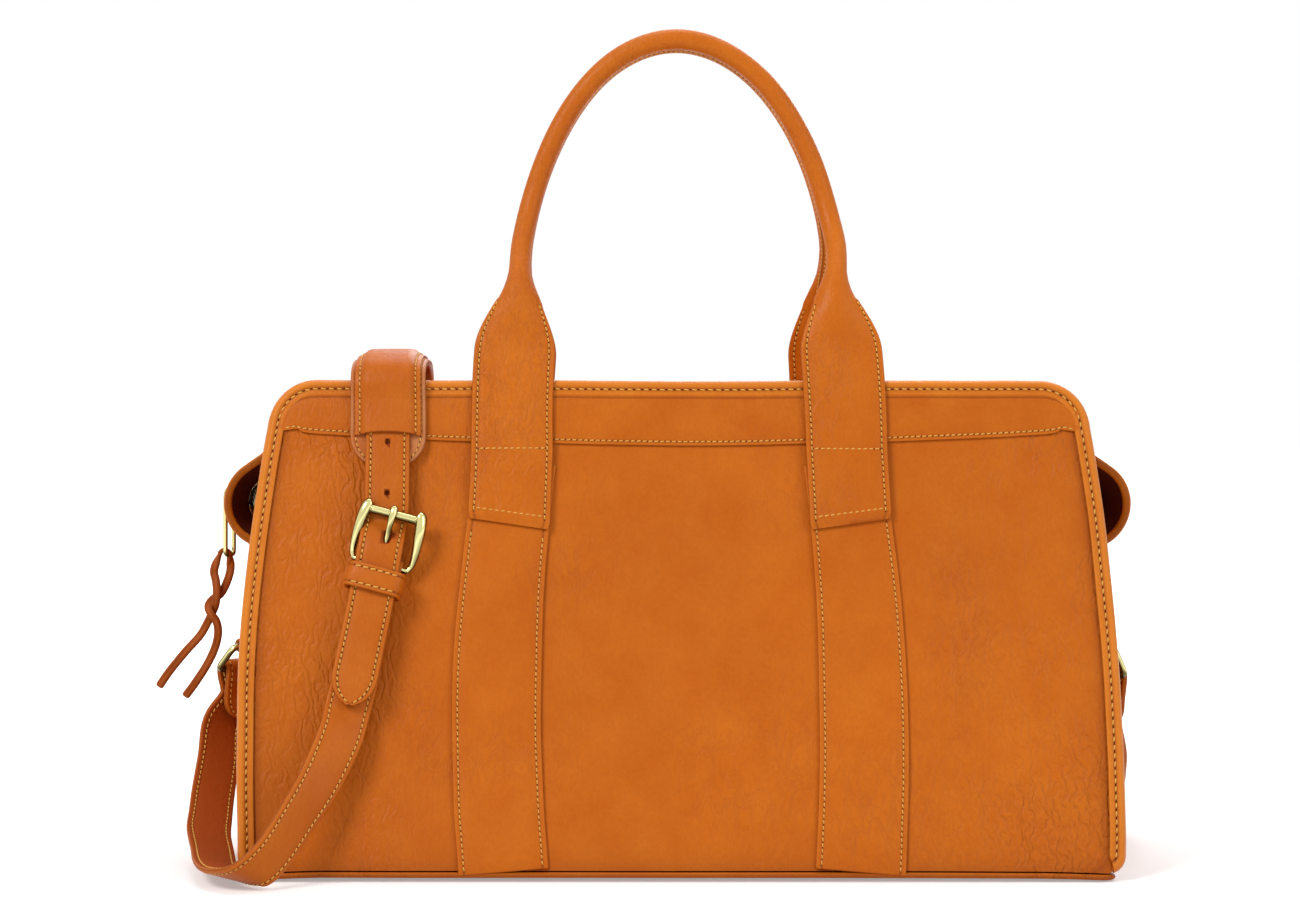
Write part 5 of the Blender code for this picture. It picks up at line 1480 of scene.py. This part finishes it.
def makeBuckleStrap(at):
    before, halves, after = endStations(at)
    centres, acrossRows = runStations(leftRun, False)
    controls = after + centres
    controlAcross = [at["across"]] * len(after) + acrossRows
    for z in steps(buckle["keeperZ"] - buckle["tailDrop"] + buckle["keeperLength"], buckle["keeperZ"], 3):
        controls.append(onPanel(strapLineX(z), z, lowerLevel))
        controlAcross.append(seat["across"])
    path = before + smoothPath(controls, 7)
    acrosses = [at["across"]] * len(before) + smoothPath(controlAcross, 7)
    halves += [strap["width"] / 2] * (len(path) - len(halves))
    bend = buckle["heel"] + gap + strapHalf
    for a in steps(math.pi / 2, -math.pi / 2, 12):
        path.append(atBuckle(0, buckle["heelRise"] + bend * math.cos(a), heelLevel + bend * math.sin(a)))
    for s in (0.35, 0.7, 1):
        path.append(atBuckle(0, buckle["heelRise"] - s * buckle["returnLength"], returnLevel))
    acrosses += [seat["across"]] * (len(path) - len(acrosses))
    halves += [strap["width"] / 2] * (len(path) - len(halves))
    outs = [a.cross(t) for t, a in zip(tangentsOf(path), acrosses)]
    piece, left, right = strip("buckleSideStrap", path, acrosses, outs, halves, strap["thick"], "strap",
                               strap["inset"], 0.0003, 0.0003, bothFaces=True, innerFleshAndShade=0.85, middle=5)
    slotAt = atBuckle(0, buckle["heelRise"] + bend, heelLevel)
    punch(piece, [(slotAt, seat["up"], 0.0090, 0.0025, seat["out"])])
    placed(piece, "bag", ["buckle_strap"])
    sew("buckleStrapStitches", bothFaceLines(left, right, strap["thick"]), "bag", margin=0.004)


def makeBilletStrap(at):
    before, halves, after = endStations(at)
    centres, acrossRows = runStations(rightRun, True)
    for sx, sz, sl in backShares:
        centres.append(onPanel(sx * halfWidth, sz * bag["height"], sl * strapLevel, 1))
    out = Vector((0, math.cos(lean), math.sin(lean)))
    acrossRows += [t.cross(out) for t in tangentsOf(centres)[len(acrossRows):]]
    over = overPoints(pad["endZ"], strapLevel, strap["x"], 3)[::-1]
    controls = after + centres + over[:1]
    controlAcross = [at["across"]] * len(after) + acrossRows + [Vector((-1, 0, 0))]
    path = before + smoothPath(controls, 9)[:-1]
    acrosses = [at["across"]] * len(before) + smoothPath(controlAcross, 9)[:-1]
    path += over
    acrosses += [Vector((-1, 0, 0))] * len(over)
    rise = buckle["heelRise"] + buckle["reach"]
    controls = [over[-1]]
    for up, level in ((rise + buckle["keeperLength"] / 3, strapLevel), (rise - buckle["keeperLength"] / 3, strapLevel),
                      (buckle["heelRise"] + 0.0190, mixed(strapLevel, tailLevel, 0.42)),
                      (buckle["heelRise"] + 0.0130, mixed(strapLevel, tailLevel, 0.84)),
                      (buckle["heelRise"] + 0.0065, mixed(strapLevel, tailLevel, 0.99)),
                      (buckle["heelRise"], tailLevel)):
        z = buckle["keeperZ"] + up * seat["up"].z
        controls.append(onPanel(strapLineX(z), z, level))
    for share in steps(0, 1, 6):
        z = buckle["keeperZ"] - buckle["tailDrop"] * share
        # the free end stands off a little and droops
        controls.append(onPanel(strapLineX(z), z, tailLevel + 0.0022 * share ** 2))
    front = smoothPath(controls, 6)[1:]
    path += front
    acrosses += [-seat["across"]] * len(front)
    halves = halves + [strap["width"] / 2] * (len(path) - len(halves))
    # the last stations taper to a rounded point
    k, tapered = len(path) - 1, 0.0
    while tapered < strap["tip"]:
        tapered += (path[k] - path[k - 1]).length
        k -= 1
    shares = [1 - (1 - s) ** 1.7 for s in steps(0, 1, 22)]
    path = path[:k] + [mixed(path[k], path[-1], s) for s in shares]
    acrosses = acrosses[:k] + [-seat["across"]] * len(shares)
    halves = halves[:k] + [strap["width"] / 2 * max(0.10, 1 - s ** 2.6) ** 0.62 for s in shares]
    outs = [t.cross(a) for t, a in zip(tangentsOf(path), acrosses)]
    piece, left, right = strip("billetStrap", path, acrosses, outs, halves, strap["thick"], "strap", strap["inset"],
                               0.0003, 0.0003, bothFaces=True, middle=5)
    spots = []
    for z, long, wide in ((0.2445, 0.0017, 0.0015), (0.2155, 0.0016, 0.0015)):
        spots.append((onPanel(strapLineX(z), z, strapLevel), panelOut(), long, wide, panelUp()))
    mid = buckle["heelRise"] + 0.0160
    spots.append((atBuckle(0, mid, mixed(strapLevel, tailLevel, 0.6)), seat["out"], 0.0046, 0.0024, seat["up"]))
    punch(piece, spots)
    placed(piece, "bag", ["billet_strap"])
    sew("billetStrapStitches", bothFaceLines(left, right, strap["thick"]), "bag", margin=0.004)


def makeKeeper():
    low = buckle["keeperLevel"] + buckle["keeperThick"]
    top = tailLevel + strapHalf + gap
    middle = (low + top) / 2
    wall = 0.0026
    low -= 0.0004
    top += 0.0004
    rim = roundedRim(strap["width"] / 2 + 0.0008 + wall / 2, (top - low) / 2 + wall / 2, 0.0036, 8, 14)
    back = len(rim) * 3 // 4 - 4
    rim = rim[back:] + rim[:back + 1]
    path = []
    for a, b in rim:
        bulge = 0.0014 * max(0.0, 1 - (a / 0.0150) ** 2) if b > 0 else 0.0
        path.append(atBuckle(a, 0, middle + b + bulge))
    outs = [t.cross(seat["up"]) for t in tangentsOf(path, True)]
    centre = atBuckle(0, 0, middle)
    outs = [o if o.dot(p - centre) > 0 else -o for o, p in zip(outs, path)]
    piece, left, right = strip("strapKeeper", path, seat["up"], outs, buckle["keeperLength"] / 2, wall, "strap",
                               0.0024, 0.0003, 0.0003)
    placed(piece, "bag", ["keeper"])
    lines = [[(p, o) for p, o in line if o.dot(seat["out"]) > 0.75] for line in (left, right)]
    sew("keeperStitches", lines, "bag", margin=0.0015, size=1.3)


def taperedRadii(path, thin, thick, grows, roundFrom):
    # a cast arm's radii: it thickens along its way and ends in a dome
    radii = []
    for s in steps(0, 1, len(path) - 1):
        r = mixed(thin, thick, smoothStep(grows(s)))
        if s > roundFrom:
            r *= math.sqrt(max(0.04, 1 - ((s - roundFrom) / (1 - roundFrom)) ** 2))
        radii.append(r)
    return radii


def makeBuckle():
    reach, rise = buckle["reach"], buckle["heelRise"]
    parts = []
    drop = topBarLevel - heelLevel
    for sign in (-1, 1):
        points = [(sign * (buckle["half"] - 0.0020), -0.0005, heelLevel), (sign * buckle["half"], 0.004, heelLevel),
                  (sign * (buckle["half"] + 0.0004), reach * 0.4, heelLevel + drop * 0.45),
                  (sign * (buckle["half"] - 0.0002), reach * 0.75, heelLevel + drop * 0.85 + 0.0006),
                  (sign * (buckle["half"] - 0.0016), reach + 0.0006, topBarLevel + 0.0004),
                  (sign * (buckle["half"] - 0.0036), reach + 0.0022, topBarLevel - 0.0002)]
        path = smoothPath([atBuckle(a, rise + b, c) for a, b, c in points], 8)
        radii = taperedRadii(path, 0.0015, 0.0035, lambda s: s / 0.80, 0.88)
        parts.append(tube(path, radii, 20, upHint=seat["out"]))
    # the top bar, the heel bar, and turned collars where the top bar meets the arms
    half, far = buckle["half"], reach - 0.0006
    for left, right, up, level, radius, sides, dome in (
        (0.001 - half, half - 0.001, far, topBarLevel, 0.0026, 20, 0.2),
        (0.0012 - half, half - 0.0012, 0, heelLevel, buckle["heel"], 14, 0.2),
        (0.0052 - half, 0.0030 - half, far, topBarLevel, 0.0031, 20, 0.4),
        (half - 0.0052, half - 0.0030, far, topBarLevel, 0.0031, 20, 0.4),
    ):
        ends = [atBuckle(x, rise + up, level) for x in (left, right)]
        parts.append(domedRod(*ends, radius, sides, dome))
    piece = addPiece("buckleFrame", *joined(parts), ["brass"], swayed=False, smooth=180)
    placed(piece, "bag", ["buckle_frame"])
    eyeRadius = buckle["heel"] + buckle["eyeRoom"] + buckle["prong"]
    eye = [atBuckle(0, rise + eyeRadius * math.cos(a), heelLevel + eyeRadius * math.sin(a)) for a in circle(24)]
    parts = [tube(eye, [buckle["prong"]] * 24, 12, ring=True, upHint=seat["across"])]
    tip = topBarLevel + 0.0026 + gap + 0.0021
    points = [(rise + eyeRadius * 0.4, heelLevel + eyeRadius), (rise + 0.0100, heelLevel + eyeRadius),
              (rise + 0.0165, mixed(heelLevel, tip, 0.64)), (rise + reach * 0.78, tip - 0.0003),
              (rise + reach - 0.0006, tip + 0.0003), (rise + reach + 0.0036, tip - 0.0008)]
    path = smoothPath([atBuckle(0, up, out) for up, out in points], 8)
    radii = taperedRadii(path, 0.0015, 0.0024, lambda s: s * 1.8 - 0.65, 0.9)
    parts.append(tube(path, radii, 18, upHint=seat["across"]))
    piece = addPiece("buckleProng", *joined(parts), ["brass"], swayed=False, smooth=180)
    placed(piece, "prong", ["buckle_prong"])


def padLine(endZ, level):
    # a path over the bag's top, with its ways out
    path = overPoints(endZ, level, strap["x"], 5)
    outs = [t.cross(Vector((-1, 0, 0))) for t in tangentsOf(path)]
    return path, outs if outs[0].y < 0 else [-o for o in outs]


def makePad():
    path, outs = padLine(pad["endZ"], padLevel + pad["thick"] / 2)
    lengths = lengthsOf(path)
    halves = []
    for at in lengths:
        near = min(at, lengths[-1] - at) / 0.0200
        halves.append((pad["width"] / 2 + 0.0008) * (max(0.22, 1 - (1 - min(1.0, near)) ** 2.2)) ** 0.5)
    cushion, left, right = strip("shoulderPad", path, acrossX, outs, halves, pad["thick"], "pad", 0.0030,
                                 0.0008, 0.0004, middle=8)
    placed(cushion, "bag", ["shoulder_pad"])
    sew("shoulderPadStitches", [left, right], "bag", margin=0.003)
    path, outs = padLine(pad["loopZ"], loopLevel + pad["loopThick"] / 2)

    def drape(x):
        return -0.0034 * smoothStep((abs(x) - 0.0118) / 0.0062)

    band, left, right = strip("padTopBand", path, acrossX, outs, pad["width"] / 2 - 0.0019, pad["loopThick"],
                              "strap", 0.0030, 0.0004, 0.0004, middle=18, bend=drape, endBow=0.0020)
    placed(band, "bag", ["pad_top_band"])
    sew("padTopBandStitches", [left, right], "bag", margin=0.002)


for back, word in ((False, "left"), (True, "right")):
    at = ringFrame(back)
    makeRing(word, at)
    makeRingTab(word, at, back)
    makeRivet(word, at)
    if back:
        makeBilletStrap(at)
    else:
        makeBuckleStrap(at)
makeKeeper()
makeBuckle()
makePad()
print("rings, strap, buckle and pad made")

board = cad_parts["base_board"]
board.data.materials.clear()
board.data.materials.append(finishes["board"])


# studio

studio = {"cameraAt": (-0.063, -1.8, 0.27), "lens": 83.0, "shiftX": 0.0615, "shiftY": -0.041}


def seenRays(tree):
    # 1 for what the camera sees straight, in a mirror or through glass
    path = tree.nodes.new("ShaderNodeLightPath")
    seen = plus(tree, path.outputs["Is Camera Ray"], path.outputs["Is Glossy Ray"])
    return plus(tree, seen, path.outputs["Is Transmission Ray"], True)


def makeStudio():
    camera = bpy.data.objects.new("studioCamera", bpy.data.cameras.new("studioCamera"))
    camera.location = studio["cameraAt"]
    camera.rotation_euler = (math.pi / 2, 0, 0)
    camera.data.lens = studio["lens"]
    camera.data.sensor_width = 36.0
    camera.data.shift_x = studio["shiftX"]
    camera.data.shift_y = studio["shiftY"]
    camera.data.clip_start = 0.05
    camera.data.clip_end = 60.0
    bpy.context.scene.collection.objects.link(camera)
    bpy.context.scene.camera = camera

    floorMesh = bpy.data.meshes.new("studioFloor")
    reach = 14.0
    floorMesh.from_pydata([(-reach, -reach, 0), (reach, -reach, 0), (reach, reach, 0), (-reach, reach, 0)], [],
                          [(0, 1, 2, 3)])
    floor = bpy.data.objects.new("studioFloor", floorMesh)
    floor.location.z = -0.0002
    bpy.context.scene.collection.objects.link(floor)
    made, tree, shader, coords = nodeTree("paperFloor")
    shader.inputs["Base Color"].default_value = (0.80, 0.80, 0.80, 1)
    shader.inputs["Roughness"].default_value = 0.9
    shader.inputs["Specular IOR Level"].default_value = 0.0
    shader.inputs["Emission Color"].default_value = (1, 1, 1, 1)
    span = addNode(tree, "ShaderNodeVectorMath", operation="LENGTH")
    tree.links.new(coords, span.inputs[0])
    glow = mapRange(tree, span.outputs["Value"], 0.55, 1.70, 0.34, 1.10)
    tree.links.new(times(tree, seenRays(tree), glow), shader.inputs["Emission Strength"])
    floorMesh.materials.append(made)

    world = bpy.data.worlds.new("studioWorld")
    bpy.context.scene.world = world
    world.use_nodes = True
    tree = world.node_tree
    back = tree.nodes["Background"]
    back.inputs["Color"].default_value = (1, 1, 1, 1)
    tree.links.new(mapRange(tree, seenRays(tree), 0, 1, 0.38, 1.0), back.inputs["Strength"])

    for name, place, aim, size, power in (
        ("keyPanel", (-1.7, -2.0, 2.1), (0, 0, 0.15), (1.1, 0.9), 52),
        ("fillPanel", (1.9, -1.7, 1.2), (0, 0, 0.2), (1.2, 1.6), 17),
        ("topPanel", (0.2, 0.6, 2.6), (0, 0, 0.2), (2.2, 1.4), 30),
        ("rearPanel", (0.6, 2.4, 1.6), (0, 0, 0.2), (1.6, 1.2), 20),
    ):
        lamp = bpy.data.lights.new(name, "AREA")
        lamp.shape = "RECTANGLE"
        lamp.size, lamp.size_y = size
        lamp.energy = power
        made = bpy.data.objects.new(name, lamp)
        made.location = place
        made.rotation_euler = (Vector(aim) - Vector(place)).to_track_quat("-Z", "Y").to_euler()
        bpy.context.scene.collection.objects.link(made)
    bpy.context.scene.view_settings.view_transform = "Standard"


makeStudio()
print("studio made")
